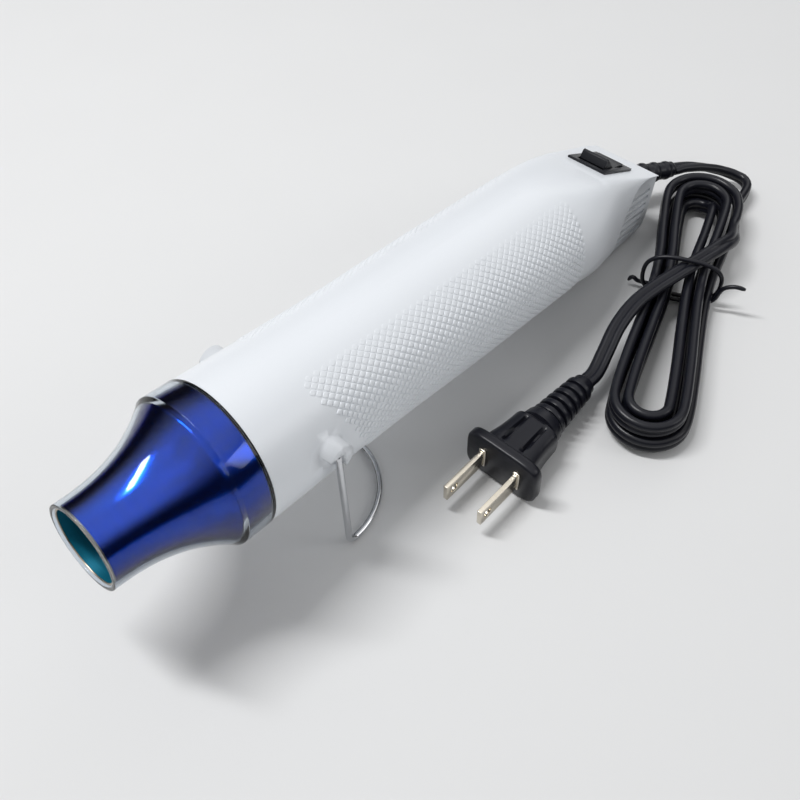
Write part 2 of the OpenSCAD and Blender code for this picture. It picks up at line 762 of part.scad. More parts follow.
// Hank: the lead goes round and round in two layers, drawn in where the tie holds it
hank_at = [84.6, -45];
hank_turn = 22.4;
hank_half = 50;
hank_waist_x = 8;
tail_z = 15.9;
hank_out = 14;
hank_step = 4.4;
waist_out = 10.4;
waist_step = 4.2;
tie_r = 0.8;
layer_low = 2 * tie_r + 0.1 + cord_w / 2;
layer_high = layer_low + cord_w + 0.5;
function rank(t) = abs(t - hank_loops / 2);
function cap_w(t) = hank_out - (hank_loops / 2 - rank(t)) * hank_step;
function run_w(t) = waist_out - (hank_loops / 2 - rank(t)) * waist_step;
function ease(x) = (1 - cos(180 * max(0, min(1, x)))) / 2;
function hank_z(t) = layer_low + (layer_high - layer_low) * ease((t - hank_loops / 2 + 0.125) * 4);
function run_y(t, x) =
    let (from_waist = x > hank_waist_x ? (x - hank_waist_x) / (hank_half - hank_waist_x)
        : (hank_waist_x - x) / (hank_half + hank_waist_x))
    run_w(t) + (cap_w(t) - run_w(t)) * ease(from_waist);
function hank_flat(t) =
    let (f = t - floor(t), q = floor(f * 4), g = f * 4 - q)
    q == 0 ? let (x = hank_half * (1 - 2 * g)) [x, -run_y(t, x)]
    : q == 1 ? [-hank_half - cap_w(t) * sin(180 * g), -cap_w(t) * cos(180 * g)]
    : q == 2 ? let (x = hank_half * (2 * g - 1)) [x, run_y(t, x)]
    : [hank_half + cap_w(t) * sin(180 * g), cap_w(t) * cos(180 * g)];
function to_row(p, z) = [hank_at[0] + p[0] * cos(hank_turn) - p[1] * sin(hank_turn),
    hank_at[1] + p[0] * sin(hank_turn) + p[1] * cos(hank_turn), z];
hank_rings = 24;
hank_path = [for (i = [0:hank_rings * hank_loops]) let (t = i / hank_rings) to_row(hank_flat(t), hank_z(t))];
hank_dir = unit(to_row([-1, 0], 0) - to_row([0, 0], 0));
end_run = cord_w;
hank_full = concat([hank_path[0] - hank_dir * end_run], hank_path,
    [hank_path[len(hank_path) - 1] + hank_dir * end_run]);

// Least gap of the hank to itself, measured between the corners of rings that are far apart along it
hank_corners = [for (i = [0:len(hank_path) - 1])
    ring(hank_path[i], tangent(hank_path, i), cord_t / 2, cord_w / 2, 0, 6)];
hank_gap = min([for (i = [0:len(hank_path) - 9], j = [i + 8:len(hank_path) - 1])
    if (norm(hank_path[i] - hank_path[j]) < 2 * cord_w)
        each [for (a = hank_corners[i], b = hank_corners[j]) norm(a - b)]]);

module cord_hank() {
    echo(least_gap_of_hank_to_itself = hank_gap);
    color("black") swept(hank_full, cord_t / 2, cord_w / 2, [for (p = hank_full) 0], 6);
}

// Route of the lead from the strain relief to the hank, and from the hank to the plug
lead_route = [[138.5, -8.6, 12.1], [143.5, -11.2, 11.5], [150, -15.2, 9.6], [156, -20, 7],
    [160, -25.5, 5.2], [159.5, -30, 4.7], [155.5, -32.6, 4.6]];
tail_route = [[118, -46, 13.2], [110, -46, 15.4], [100, -44.4, 15.9], [88, -42, 15.9], [76, -39.8, 15.9],
    [66, -38.8, 15.4], [56, -39.4, 13.2], [46, -41.8, 10.4], [38.4, -43.6, 8.5], [33.2, -43.6, 8.5]];
plug_at = [-10.5, -43.6, 8.5];      // middle of the plug's front face
plug_back = 33;                     // where its relief ends
lead_path = concat(lead_route, [hank_full[0] - hank_dir * 5, hank_full[0]]);
tail_start = hank_full[len(hank_full) - 1];
tail_path = concat([tail_start, tail_start + hank_dir * 5], tail_route);

module cord_lead() {
    n = len(lead_path);
    color("black") swept(lead_path, cord_t / 2, cord_w / 2, [for (i = [0:n - 1]) 90 * max(0, 1 - i / 6)], 8);
}

module cord_tail() {
    color("black") swept(tail_path, cord_t / 2, cord_w / 2,
        [for (i = [0:len(tail_path) - 1]) 90 * min(1, i / 4)], 8);
}

// Tie: coated wire round the waist of the hank, its two ends twisted and left long
tie_half = waist_out + cord_t / 2 + tie_r + 0.4;
tie_top = tail_z + cord_t / 2 + tie_r + 0.3;
tie_corner = 4;
tie_ends = [[1, 6, -8], [-1, 8, -20]];  // side, height and lean of each free end
tie_end_len = 12;
module twist_tie() {
    color("black") translate(to_row([hank_waist_x, 0], tie_r)) rotate([90, 0, hank_turn + 90]) {
        for (i = [0:1]) mirror([i, 0, 0]) {
            translate([tie_half - tie_corner, tie_corner, 0]) rotate([0, 0, -90]) tie_bend();
            translate([tie_half - tie_corner, tie_top - tie_r - tie_corner, 0]) tie_bend();
            translate([tie_half, tie_corner, 0]) rotate([-90, 0, 0])
                cylinder(r = tie_r, h = tie_top - tie_r - 2 * tie_corner);
        }
        for (y = [0, tie_top - tie_r]) translate([-tie_half + tie_corner, y, 0]) rotate([0, 90, 0])
            cylinder(r = tie_r, h = 2 * (tie_half - tie_corner));
        for (end = tie_ends)
            translate([end[0] * (tie_half + 0.3), end[1], 0]) rotate([end[2], 60 * end[0], 0])
                cylinder(r = tie_r - 0.05, h = tie_end_len);
    }
}
module tie_bend() {
    rotate_extrude(angle = 90) translate([tie_corner, 0]) circle(r = tie_r, $fn = 16);
}

// Plug: flange, grooved grip, collar and ribbed relief, moulded as one
flange_t = 3.6;
blade_h = 6.35;
plug_blade_t = 1.5;
blade_in = flange_t + 6;    // length of a blade inside the plug
module plug_body() {
    flange_w = 26;
    flange_h = 17;
    grip_len = 15;
    grip_front = [13.2, 19];    // height and width of the grip at the flange
    grip_back = [11.6, 16];     // and at the collar
    rib_count = 6;
    rib_pitch = 3.1;
    rib_gap = 1.1;
    rib_from = flange_t + grip_len + 4.5;
    plug_len = plug_back - plug_at[0];
    groove_w = 1.2;
    groove_y = 3.4;
    color("black") translate(plug_at) rotate([0, 90, 0]) difference() {
        union() {
            linear_extrude(flange_t) intersection() {
                square([flange_h, flange_w], center = true);
                circle(r = flange_w / 2 + 0.6);
                rotate([0, 0, 45]) square([flange_w, flange_w], center = true);
            }
            hull() {
                translate([-grip_front[0] / 2, -grip_front[1] / 2, flange_t - 0.5])
                    cube([grip_front[0], grip_front[1], 1]);
                translate([-grip_back[0] / 2, -grip_back[1] / 2, flange_t + grip_len - 1])
                    cube([grip_back[0], grip_back[1], 1]);
            }
            translate([0, 0, flange_t + grip_len - 0.5]) cylinder(r1 = 7, r2 = 6.2, h = 5);
            for (i = [0:rib_count - 1])
                translate([0, 0, rib_from + i * rib_pitch])
                    cylinder(r = 5.9 - 0.25 * i, h = rib_pitch - rib_gap);
            cylinder(r = 3.9, h = plug_len);
        }
        for (side = [-1, 1], y = [-groove_y, groove_y])
            translate([side * grip_front[0] / 2, y, flange_t + 1 + (grip_len - 3) / 2])
                cube([1.8, groove_w, grip_len - 3], center = true);
        for (side = [-1, 1])
            translate([0, side * blade_pitch / 2, blade_in / 2]) cube(
                [blade_h + 0.25, plug_blade_t + 0.3, blade_in + 2], center = true);
    }
}

module plug_blades() {
    hole_in = 3.2;          // blade's tip to the centre of its hole
    hole_r = 1.6;
    color("silver") for (side = [-1, 1])
        translate(plug_at + [-blade_len, side * blade_pitch / 2 - plug_blade_t / 2, -blade_h / 2])
            difference() {
                cube([blade_len + blade_in, plug_blade_t, blade_h]);
                translate([hole_in, -plug_blade_t, blade_h / 2]) rotate([-90, 0, 0])
                    cylinder(r = hole_r, h = 3 * plug_blade_t);
            }
}

on_stand() housing_near();
on_stand() housing_far();
on_stand() housing_screws();
on_stand() nozzle_guard();
on_stand() nozzle_liner();
on_stand() heater_tube();
on_stand() tube_flange();
on_stand() mica_sleeve();
on_stand() mica_core();
on_stand() heating_coil();
on_stand() thermal_fuse();
on_stand() motor_can();
on_stand() motor_cap();
on_stand() motor_terminals();
on_stand() motor_carrier();
on_stand() motor_shaft();
on_stand() fan_impeller();
on_stand() rectifier_board();
on_stand() diodes();
on_stand() switch_case();
on_stand() switch_rocker();
on_stand() switch_terminals();
on_stand() inner_leads();
on_stand() cord_clamp();
wire_stand();
strain_relief();
cord_lead();
cord_hank();
cord_tail();
twist_tie();
plug_body();
plug_blades();
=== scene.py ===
import json
import math

import bmesh
import bpy
from bpy.props import FloatProperty, FloatVectorProperty, IntProperty, PointerProperty
from mathutils import Matrix, Vector


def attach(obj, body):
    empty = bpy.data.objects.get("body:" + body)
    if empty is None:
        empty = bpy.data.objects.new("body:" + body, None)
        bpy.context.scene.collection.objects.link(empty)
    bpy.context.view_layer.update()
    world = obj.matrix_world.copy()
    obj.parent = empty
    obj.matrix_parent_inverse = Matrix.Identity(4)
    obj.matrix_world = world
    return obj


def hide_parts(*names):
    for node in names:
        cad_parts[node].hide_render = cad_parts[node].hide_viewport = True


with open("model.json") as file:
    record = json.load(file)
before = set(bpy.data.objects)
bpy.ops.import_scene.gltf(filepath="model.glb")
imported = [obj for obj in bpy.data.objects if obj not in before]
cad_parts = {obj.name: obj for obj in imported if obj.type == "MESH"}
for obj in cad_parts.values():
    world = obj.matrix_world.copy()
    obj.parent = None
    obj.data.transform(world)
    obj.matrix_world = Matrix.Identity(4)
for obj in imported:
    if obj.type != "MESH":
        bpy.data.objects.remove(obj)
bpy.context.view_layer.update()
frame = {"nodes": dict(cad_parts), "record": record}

bl_info = {
    "name": "Embossing heat tool",
    "version": (1, 0, 0),
    "blender": (4, 5, 0),
    "location": "3D View > Sidebar > Heat tool",
    "description": "Builds the finish of an embossing heat tool round its packed model",
    "category": "Object",
}

MM = 0.001

# The tool is drawn along its own axis: +X back from the hinge station, +Z up, then tipped as it stands
JOINTS = {joint["name"]: joint for joint in frame["record"]["behaviour"]["joints"]}
HINGE = Vector(JOINTS["stand_fold"]["pos_m"])
HINGE_UP = 3 * MM
TILT = math.atan2(-JOINTS["fan_spin"]["axis"][2], JOINTS["fan_spin"]["axis"][0])
TURN = Matrix.Rotation(TILT, 4, "Y")
TO_ROW = Matrix.Translation(HINGE) @ TURN @ Matrix.Translation((0, 0, -HINGE_UP))

# Barrel and nozzle, as stations behind the hinge and radii
BARREL_R = 22.2 * MM
WAIST_IN = 0.6 * MM
WAIST_S = 26 * MM
GRIP_S = 76 * MM
FRONT_S = -19.5 * MM
MOUTH_S = -60.5 * MM
MOUTH_R = 12.4 * MM
BAND_R = 22.4 * MM
BAND_LEN = 9.5 * MM
FLARE_LEN = FRONT_S - MOUTH_S - BAND_LEN
FLARE_R = BAND_R - 0.6 * MM
GUARD_WALL = 1.1 * MM
SPIGOT_LEN = 6 * MM
LINER_FIT = 0.15 * MM       # clearance between guard and liner
LINER_WALL = 0.5 * MM
FLANGE_BACK = 0.5 * MM      # thickness of the guard's step down to its spigot
LIP_BACK = 0.9 * MM         # the liner's front edge behind the guard's
SPIGOT_R = 19.9 * MM
REAR_S = 174.5 * MM

# Switch on its sloping land
LAND_SLOPE = math.radians(19.8)
BEZEL_S = REAR_S - 22 * MM
BEZEL_U = 3 * MM + 22 * MM * math.tan(LAND_SLOPE) + 0.4 * MM
TO_LAND = TO_ROW @ Matrix.Translation((BEZEL_S, 0, BEZEL_U)) @ Matrix.Rotation(LAND_SLOPE, 4, "Y")

# Where the lead leaves the rear face, and its strain relief's radius there
CORD_U = -6 * MM
RELIEF_R = 4 * MM

# Flat twin lead
CORD_W = 5.6 * MM
CORD_T = 3.2 * MM

# Camera, as found from the photograph
CAMERA_AT = (-140.65 * MM, -130.2 * MM, 239.94 * MM)
CAMERA_AZIMUTH = math.radians(-45.7)
CAMERA_PITCH = math.radians(51.99)
CAMERA_ROLL = math.radians(2.34)
FOCAL_PX = 927.2
IMAGE_PX = 800
SENSOR_MM = 36


class HeatToolSizes(bpy.types.PropertyGroup):
    pad_pitch: FloatProperty(name="Pad pitch", description="Distance between the grip's grooves",
        default=1.8 * MM, min=1 * MM, max=4 * MM, unit="LENGTH")
    pad_height: FloatProperty(name="Pad height", description="How far a grip pad stands out of the barrel",
        default=0.3 * MM, min=0.05 * MM, max=0.5 * MM, unit="LENGTH")
    groove: FloatProperty(name="Groove", description="Width of the groove between two pads",
        default=0.4 * MM, min=0.1 * MM, max=1 * MM, unit="LENGTH")
    groove_angle: FloatProperty(name="Groove angle", description="Angle of the grooves to the tool's axis",
        default=math.radians(40), min=0.2, max=1.3, subtype="ANGLE")
    cord_length: FloatProperty(name="Lead length", description="Length of the mains lead from tool to plug",
        default=1.2, min=0.5, max=3, unit="LENGTH")
    plug_ribs: IntProperty(name="Plug ribs", description="Ribs of the plug's strain relief",
        default=6, min=3, max=10)
    body_white: FloatVectorProperty(name="Body", description="Colour of the moulded housing",
        default=(0.76, 0.79, 0.83), size=3, min=0, max=1, subtype="COLOR")
    liner_blue: FloatVectorProperty(name="Liner", description="Colour of the anodised liner",
        default=(0.001, 0.1, 0.85), size=3, min=0, max=1, subtype="COLOR")
    cord_black: FloatVectorProperty(name="Lead", description="Colour of the lead, the tie and the plug",
        default=(0.007, 0.0075, 0.012), size=3, min=0, max=1, subtype="COLOR")


def sizes():
    return bpy.context.scene.heat_tool


# Shader groups: effects that several finishes share

def new_group(name, inputs, outputs):
    group = bpy.data.node_groups.new(name, "ShaderNodeTree")
    for label, default in inputs:
        socket = group.interface.new_socket(label, in_out="INPUT", socket_type="NodeSocketFloat")
        socket.default_value = default
    for label in outputs:
        group.interface.new_socket(label, in_out="OUTPUT", socket_type="NodeSocketFloat")
    return group, group.nodes.new("NodeGroupInput"), group.nodes.new("NodeGroupOutput")


def moulded_grain():
    """Fine moulding grain, with broad soft unevenness of the surface"""
    name = "Moulded grain"
    if name in bpy.data.node_groups:
        return bpy.data.node_groups[name]
    group, into, out = new_group(name, [("Grain size", 900.0), ("Mottle size", 25.0)], ["Grain", "Mottle"])
    place = group.nodes.new("ShaderNodeTexCoord")
    grain = group.nodes.new("ShaderNodeTexNoise")
    grain.inputs["Detail"].default_value = 3
    mottle = group.nodes.new("ShaderNodeTexNoise")
    mottle.inputs["Detail"].default_value = 2
    for node, socket in ((grain, "Grain size"), (mottle, "Mottle size")):
        group.links.new(place.outputs["Object"], node.inputs["Vector"])
        group.links.new(into.outputs[socket], node.inputs["Scale"])
    group.links.new(grain.outputs["Fac"], out.inputs["Grain"])
    group.links.new(mottle.outputs["Fac"], out.inputs["Mottle"])
    return group


def turned_streaks_and_painted_bands():
    """Lines that a lathe or a drawing die leaves, along or round the tool's axis, by stretched noise;
    stretched much further round the axis, the same noise also gives the liner's painted reflection bands
    """
    name = "Turned streaks"
    if name in bpy.data.node_groups:
        return bpy.data.node_groups[name]
    group, into, out = new_group(name, [("Along", 20.0), ("Across", 900.0)], ["Streak"])
    place = group.nodes.new("ShaderNodeTexCoord")
    tilt = group.nodes.new("ShaderNodeMapping")
    tilt.inputs["Rotation"].default_value = (0, -TILT, 0)
    spread = group.nodes.new("ShaderNodeCombineXYZ")
    split = group.nodes.new("ShaderNodeSeparateXYZ")
    along = group.nodes.new("ShaderNodeMath")
    along.operation = "MULTIPLY"
    group.links.new(place.outputs["Object"], tilt.inputs["Vector"])
    group.links.new(tilt.outputs["Vector"], split.inputs["Vector"])
    group.links.new(split.outputs["X"], along.inputs[0])
    group.links.new(into.outputs["Across"], along.inputs[1])
    group.links.new(along.outputs["Value"], spread.inputs["X"])
    for axis in ("Y", "Z"):
        scale = group.nodes.new("ShaderNodeMath")
        scale.operation = "MULTIPLY"
        group.links.new(split.outputs[axis], scale.inputs[0])
        group.links.new(into.outputs["Along"], scale.inputs[1])
        group.links.new(scale.outputs["Value"], spread.inputs[axis])
    noise = group.nodes.new("ShaderNodeTexNoise")
    noise.inputs["Scale"].default_value = 1
    noise.inputs["Detail"].default_value = 4
    group.links.new(spread.outputs["Vector"], noise.inputs["Vector"])
    group.links.new(noise.outputs["Fac"], out.inputs["Streak"])
    return group


def scaled(color, share):
    return tuple(min(1, channel * share) for channel in color[:3]) + (1,)


def finish_material(name, color, roughness, metallic=0, grain=900, bump=0.00004, mottle=0.06,
        streaks=None, shine=0.5):
    """A plain Principled surface whose colour, roughness and relief come from the shared groups"""
    if name in bpy.data.materials:
        return bpy.data.materials[name]
    material = bpy.data.materials.new(name)
    material.use_nodes = True
    nodes, links = material.node_tree.nodes, material.node_tree.links
    shader = nodes["Principled BSDF"]
    shader.inputs["Metallic"].default_value = metallic
    shader.inputs["Specular IOR Level"].default_value = shine
    effect = nodes.new("ShaderNodeGroup")
    effect.node_tree = moulded_grain()
    effect.inputs["Grain size"].default_value = grain
    broad, fine = effect.outputs["Mottle"], effect.outputs["Grain"]
    if streaks:
        turned = nodes.new("ShaderNodeGroup")
        turned.node_tree = turned_streaks_and_painted_bands()
        turned.inputs["Along"].default_value = streaks[0]
        turned.inputs["Across"].default_value = streaks[1]
        fine = turned.outputs["Streak"]
    tint = nodes.new("ShaderNodeMix")
    tint.data_type = "RGBA"
    tint.inputs["A"].default_value = scaled(color, 1 - mottle)
    tint.inputs["B"].default_value = scaled(color, 1 + mottle)
    links.new(fine if streaks else broad, tint.inputs["Factor"])
    links.new(tint.outputs["Result"], shader.inputs["Base Color"])
    rough = nodes.new("ShaderNodeMapRange")
    rough.inputs["To Min"].default_value = max(0.02, roughness - 0.06)
    rough.inputs["To Max"].default_value = min(1, roughness + 0.06)
    links.new(broad, rough.inputs["Value"])
    links.new(rough.outputs["Result"], shader.inputs["Roughness"])
    relief = nodes.new("ShaderNodeBump")
    relief.inputs["Distance"].default_value = bump
    links.new(fine, relief.inputs["Height"])
    links.new(relief.outputs["Normal"], shader.inputs["Normal"])
    return material


def white_plastic():
    return finish_material("White moulded plastic", sizes().body_white, 0.32, mottle=0.015, bump=0.00002)


def black_plastic():
    return finish_material("Black moulded plastic", (0.012, 0.013, 0.017), 0.32, bump=0.00003, mottle=0.15,
        shine=0.3)


def cord_vinyl():
    return finish_material("Black vinyl", sizes().cord_black, 0.3, grain=500, bump=0.00003, mottle=0.2,
        shine=0.28)


def bright_wire():
    return finish_material("Bright steel wire", (0.62, 0.63, 0.65), 0.16, metallic=1, streaks=(500, 60),
        mottle=0.08, bump=0.00001)


def blade_nickel():
    return finish_material("Nickelled brass blade", (0.66, 0.61, 0.52), 0.22, metallic=1,
        streaks=(200, 900), mottle=0.08, bump=0.00001)


# Painted reflection bands: navy to bright stripes along the liner that stand in for reflections of the room
REFLECTION_BAND_STOPS = ((0.38, 0.5), (0.46, 0.8), (0.54, 1.05), (0.64, 1.4))     # place on the ramp, share of the blue
REFLECTION_BAND_ALONG = 80
REFLECTION_BAND_ACROSS = 2.5
LINER_SHEEN = (0.02, 0.2, 0.42, 1)
# Painted shade: the dark teal that the liner's colour turns to where its surface faces away from view
LINER_GRAZING_SHADE = (0.0, 0.018, 0.06, 1)
GRAZING_SHADE_BLEND = 0.42


def anodised_blue_painted_light():
    """Polished blue anodising under fine turned lines, with painted reflection bands from navy to bright, and
    painted shade where it turns away from view
    """
    name = "Blue anodised metal"
    if name in bpy.data.materials:
        return bpy.data.materials[name]
    material = finish_material(name, (0.75, 0.75, 0.75), 0.17, metallic=1, streaks=(40, 1500),
        mottle=0.2, bump=0.000004)
    nodes, links = material.node_tree.nodes, material.node_tree.links
    shader = nodes["Principled BSDF"]
    # Painted reflection: noise stretched round the axis picks navy to bright bands off the ramp
    bands = nodes.new("ShaderNodeGroup")
    bands.node_tree = turned_streaks_and_painted_bands()
    bands.inputs["Along"].default_value = REFLECTION_BAND_ALONG
    bands.inputs["Across"].default_value = REFLECTION_BAND_ACROSS
    ramp = nodes.new("ShaderNodeValToRGB")
    blue = sizes().liner_blue
    ramp.color_ramp.elements[0].position = REFLECTION_BAND_STOPS[0][0]
    ramp.color_ramp.elements[1].position = REFLECTION_BAND_STOPS[-1][0]
    for place, _ in REFLECTION_BAND_STOPS[1:-1]:
        ramp.color_ramp.elements.new(place)
    for element, (_, share) in zip(ramp.color_ramp.elements, REFLECTION_BAND_STOPS):
        element.color = scaled(blue, share)
    links.new(bands.outputs["Streak"], ramp.inputs["Fac"])
    blend = nodes.new("ShaderNodeMix")
    blend.data_type = "RGBA"
    blend.blend_type = "MULTIPLY"
    blend.inputs["Factor"].default_value = 1
    links.new(ramp.outputs["Color"], blend.inputs["A"])
    links.new(shader.inputs["Base Color"].links[0].from_socket, blend.inputs["B"])
    shader.inputs["Specular Tint"].default_value = LINER_SHEEN
    # Painted shade at grazing angles: the colour darkens as the surface turns away from view
    facing = nodes.new("ShaderNodeLayerWeight")
    facing.inputs["Blend"].default_value = GRAZING_SHADE_BLEND
    edge = nodes.new("ShaderNodeMix")
    edge.data_type = "RGBA"
    edge.inputs["B"].default_value = LINER_GRAZING_SHADE
    links.new(facing.outputs["Facing"], edge.inputs["Factor"])
    links.new(blend.outputs["Result"], edge.inputs["A"])
    links.new(edge.outputs["Result"], shader.inputs["Base Color"])
    return material


def bore_painted_reflection():
    """The liner's bore, less polished, its darker teal colour a painted reflection"""
    return finish_material("Blue anodised bore", (0.004, 0.17, 0.27), 0.42, metallic=0.55,
        streaks=(60, 900), mottle=0.3)


def cut_edge():
    return finish_material("Cut edge of the liner", (0.42, 0.36, 0.28), 0.3, metallic=1,
        streaks=(300, 300), mottle=0.1)


def clear_plastic():
    """Clear, faintly grey plastic with a polished skin"""
    name = "Clear guard plastic"
    if name in bpy.data.materials:
        return bpy.data.materials[name]
    material = finish_material(name, (0.66, 0.72, 0.79), 0.03, bump=0.000002, mottle=0.02, shine=0.25)
    shader = material.node_tree.nodes["Principled BSDF"]
    shader.inputs["Transmission Weight"].default_value = 1
    shader.inputs["IOR"].default_value = 1.35
    return material


INNER_FINISHES = {
    "heater_tube": ("Heat-tinted steel", (0.42, 0.37, 0.3), 0.32, 1),
    "tube_flange": ("Pressed mica board", (0.3, 0.2, 0.11), 0.6, 0),
    "mica_sleeve": ("Mica sheet", (0.46, 0.36, 0.22), 0.45, 0),
    "mica_core": ("Mica sheet", (0.46, 0.36, 0.22), 0.45, 0),
    "heating_coil": ("Oxidised heating wire", (0.09, 0.08, 0.075), 0.5, 1),
    "thermal_fuse": ("Tinned case", (0.5, 0.5, 0.48), 0.3, 1),
    "motor_can": ("Drawn motor steel", (0.5, 0.5, 0.5), 0.3, 1),
    "motor_cap": ("Dark motor plastic", (0.05, 0.05, 0.055), 0.5, 0),
    "motor_terminals": ("Terminal brass", (0.6, 0.42, 0.16), 0.3, 1),
    "motor_carrier": ("Pale grey plastic", (0.45, 0.46, 0.46), 0.45, 0),
    "motor_shaft": ("Ground steel", (0.6, 0.6, 0.6), 0.18, 1),
    "fan_impeller": ("Black fan plastic", (0.02, 0.02, 0.022), 0.4, 0),
    "rectifier_board": ("Green board", (0.01, 0.11, 0.04), 0.35, 0),
    "diodes": ("Black epoxy", (0.018, 0.018, 0.02), 0.35, 0),
    "switch_terminals": ("Terminal brass", (0.6, 0.42, 0.16), 0.3, 1),
    "inner_leads": ("Red lead cover", (0.35, 0.02, 0.015), 0.35, 0),
    "cord_clamp": ("Pale grey plastic", (0.45, 0.46, 0.46), 0.45, 0),
}
SCREW_FINISH = ("Zinc-plated screw", (0.5, 0.5, 0.48), 0.28, 1)


# Mesh helpers

def make_piece(name, mesh, material, body, replaced=(), smooth=math.radians(32)):
    """A finished piece at the origin, smooth between shallow faces, riding on its body"""
    piece = bpy.data.objects.new(name, mesh)
    bpy.context.scene.collection.objects.link(piece)
    mesh.materials.clear()
    mesh.materials.append(material)
    mesh.polygons.foreach_set("use_smooth", [True] * len(mesh.polygons))
    mesh.set_sharp_from_angle(angle=smooth)
    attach(piece, body)
    if replaced:
        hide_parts(*replaced)
    return piece


def to_mesh(bm, name):
    bmesh.ops.recalc_face_normals(bm, faces=bm.faces[:])
    mesh = bpy.data.meshes.new(name)
    bm.to_mesh(mesh)
    bm.free()
    return mesh


def node_copy(node, flat=0.0):
    """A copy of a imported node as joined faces; flat merges faces that lie within that angle"""
    bm = bmesh.new()
    bm.from_mesh(frame["nodes"][node].data)
    bmesh.ops.remove_doubles(bm, verts=bm.verts[:], dist=0.002 * MM)
    if flat:
        bmesh.ops.dissolve_limit(bm, angle_limit=flat, verts=bm.verts[:], edges=bm.edges[:])
    return bm


def rounded_copy(node, radius, segments=3, flat=math.radians(2), limit=math.radians(40)):
    """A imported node's own form with its hard edges rounded"""
    bm = node_copy(node, flat)
    sharp = [e for e in bm.edges if len(e.link_faces) == 2 and e.calc_face_angle() > limit]
    bmesh.ops.bevel(bm, geom=sharp, offset=radius, segments=segments, profile=0.5, affect="EDGES",
        clamp_overlap=True)
    return bm


def turned(profile, steps=160):
    """A closed ring of [station, radius] points turned round the tool's axis"""
    bm = bmesh.new()
    rows = []
    for i in range(steps):
        angle = 2 * math.pi * i / steps
        c, d = math.cos(angle), math.sin(angle)
        rows.append([bm.verts.new(TO_ROW @ Vector((s, r * c, r * d))) for s, r in profile])
    for i in range(steps):
        here, there = rows[i], rows[(i + 1) % steps]
        for k in range(len(profile)):
            m = (k + 1) % len(profile)
            bm.faces.new((here[k], here[m], there[m], there[k]))
    return bm


def rounded_corners(points, radius, steps=4):
    """The points of a closed outline with each corner that turns more than a little made an arc"""
    out = []
    count = len(points)
    for i in range(count):
        before, here, after = (Vector(points[(i + d) % count]) for d in (-1, 0, 1))
        a, b = before - here, after - here
        bend = math.pi - a.angle(b)
        if bend < math.radians(20):
            out.append(tuple(here))
            continue
        size = min(radius, 0.4 * a.length / math.tan(bend / 2), 0.4 * b.length / math.tan(bend / 2))
        cut = size * math.tan(bend / 2)
        start, end = here + a.normalized() * cut, here + b.normalized() * cut
        for k in range(steps + 1):
            t = k / steps
            out.append(tuple((1 - t) ** 2 * start + 2 * t * (1 - t) * here + t ** 2 * end))
    return out


def swept(path, section, name, cap=True):
    """A tube through the path's points; section(i) gives that ring's points as [side, up] offsets"""
    bm = bmesh.new()
    rings = []
    for i, point in enumerate(path):
        ahead = (path[min(i + 1, len(path) - 1)] - path[max(i - 1, 0)]).normalized()
        side = ahead.cross(Vector((0, 0, 1))).normalized()
        up = side.cross(ahead)
        rings.append([bm.verts.new(point + side * x + up * y) for x, y in section(i)])
    for here, there in zip(rings, rings[1:]):
        for k in range(len(here)):
            m = (k + 1) % len(here)
            bm.faces.new((here[k], here[m], there[m], there[k]))
    if cap:
        bm.faces.new(rings[0])
        bm.faces.new(rings[-1])
    return to_mesh(bm, name)


def barrel_at(station):
    """Radius of the barrel: full at the front and along the grip, slim at the waist"""
    away = min(abs(station - WAIST_S) / (GRIP_S - WAIST_S), 1)
    return BARREL_R - WAIST_IN * (1 + math.cos(math.pi * away)) / 2


def flare_at(distance):
    """Outer radius of the nozzle at a distance behind its mouth"""
    return MOUTH_R + (FLARE_R - MOUTH_R) * max(0, distance / FLARE_LEN) ** 2.5


# Tail: a smooth blend from the round barrel to the narrow rear face, cut by the sloping land
TAIL_FROM = 104.5 * MM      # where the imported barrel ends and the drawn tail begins
SIDES_FROM = 118 * MM       # where its sides begin to draw in and its section to square
TAIL_HALF = 15.3 * MM
TAIL_BLEND = 36 * MM        # length over which the sides draw in
INNER_BLEND = 32 * MM       # the same for the hollow inside
SQUARE_LEN = 46 * MM        # length over which the section turns square
TOP_SQUARE_FROM = 158 * MM  # the top squares mostly from here on
TOP_SQUARE_LEN = 14 * MM
LATE_FROM = 148 * MM        # the sides draw in a little more from here on
LATE_LEN = 30 * MM
LATE_IN = 1.9 * MM
UNDER_FROM = 150 * MM       # the underside rises a little from here on
UNDER_LEN = 20 * MM
BREAK_R = 92 * MM           # rounding between the barrel's top and the land
REAR_TOP = 3 * MM
REAR_BOTTOM = 21.4 * MM
REAR_EDGE_R = 4 * MM
REAR_ROUND = 1.2 * MM
LAND_T = 0.4 * MM           # how far the land stands out of the slope
LAND_STEP_S = 128 * MM
LAND_STEP_LEN = 10 * MM
LAND_SOFT = 3.5 * MM        # rounding along the land's edges
SOFT_LEN = 24 * MM          # length over which that rounding grows
LEAST_SOFT = 0.03
FINE_LEN = 4 * MM           # the last stretch before the rear face, with closer sections
SHELL_WALL = 2 * MM
PANEL_Y = 12.5 * MM         # distance of a louvre panel from the parting plane
PANEL_WALL = 1.6 * MM
PANEL_EDGE = ((177, 1.8), (147, 17), (154, -6), (145.5, -26))     # control points of its swept edge
SLOT_W = 1.5 * MM
SLOT_PITCH = 3.1 * MM
SLOT_COUNT = 6
SLOT_LOW = -17.8 * MM
SLOT_RIM = 1.2 * MM
SLOT_REAR = 2.8 * MM
PANEL_CORNER = (177 * MM, -24 * MM)
OUTSIDE = 26 * MM           # a distance from the parting plane that lies outside the tool
SLOT_OUTSIDE = 20 * MM
OPENING = (19 * MM, 12.6 * MM, 12 * MM)     # cutter for the switch
CORD_HOLE_DEEP = 8 * MM

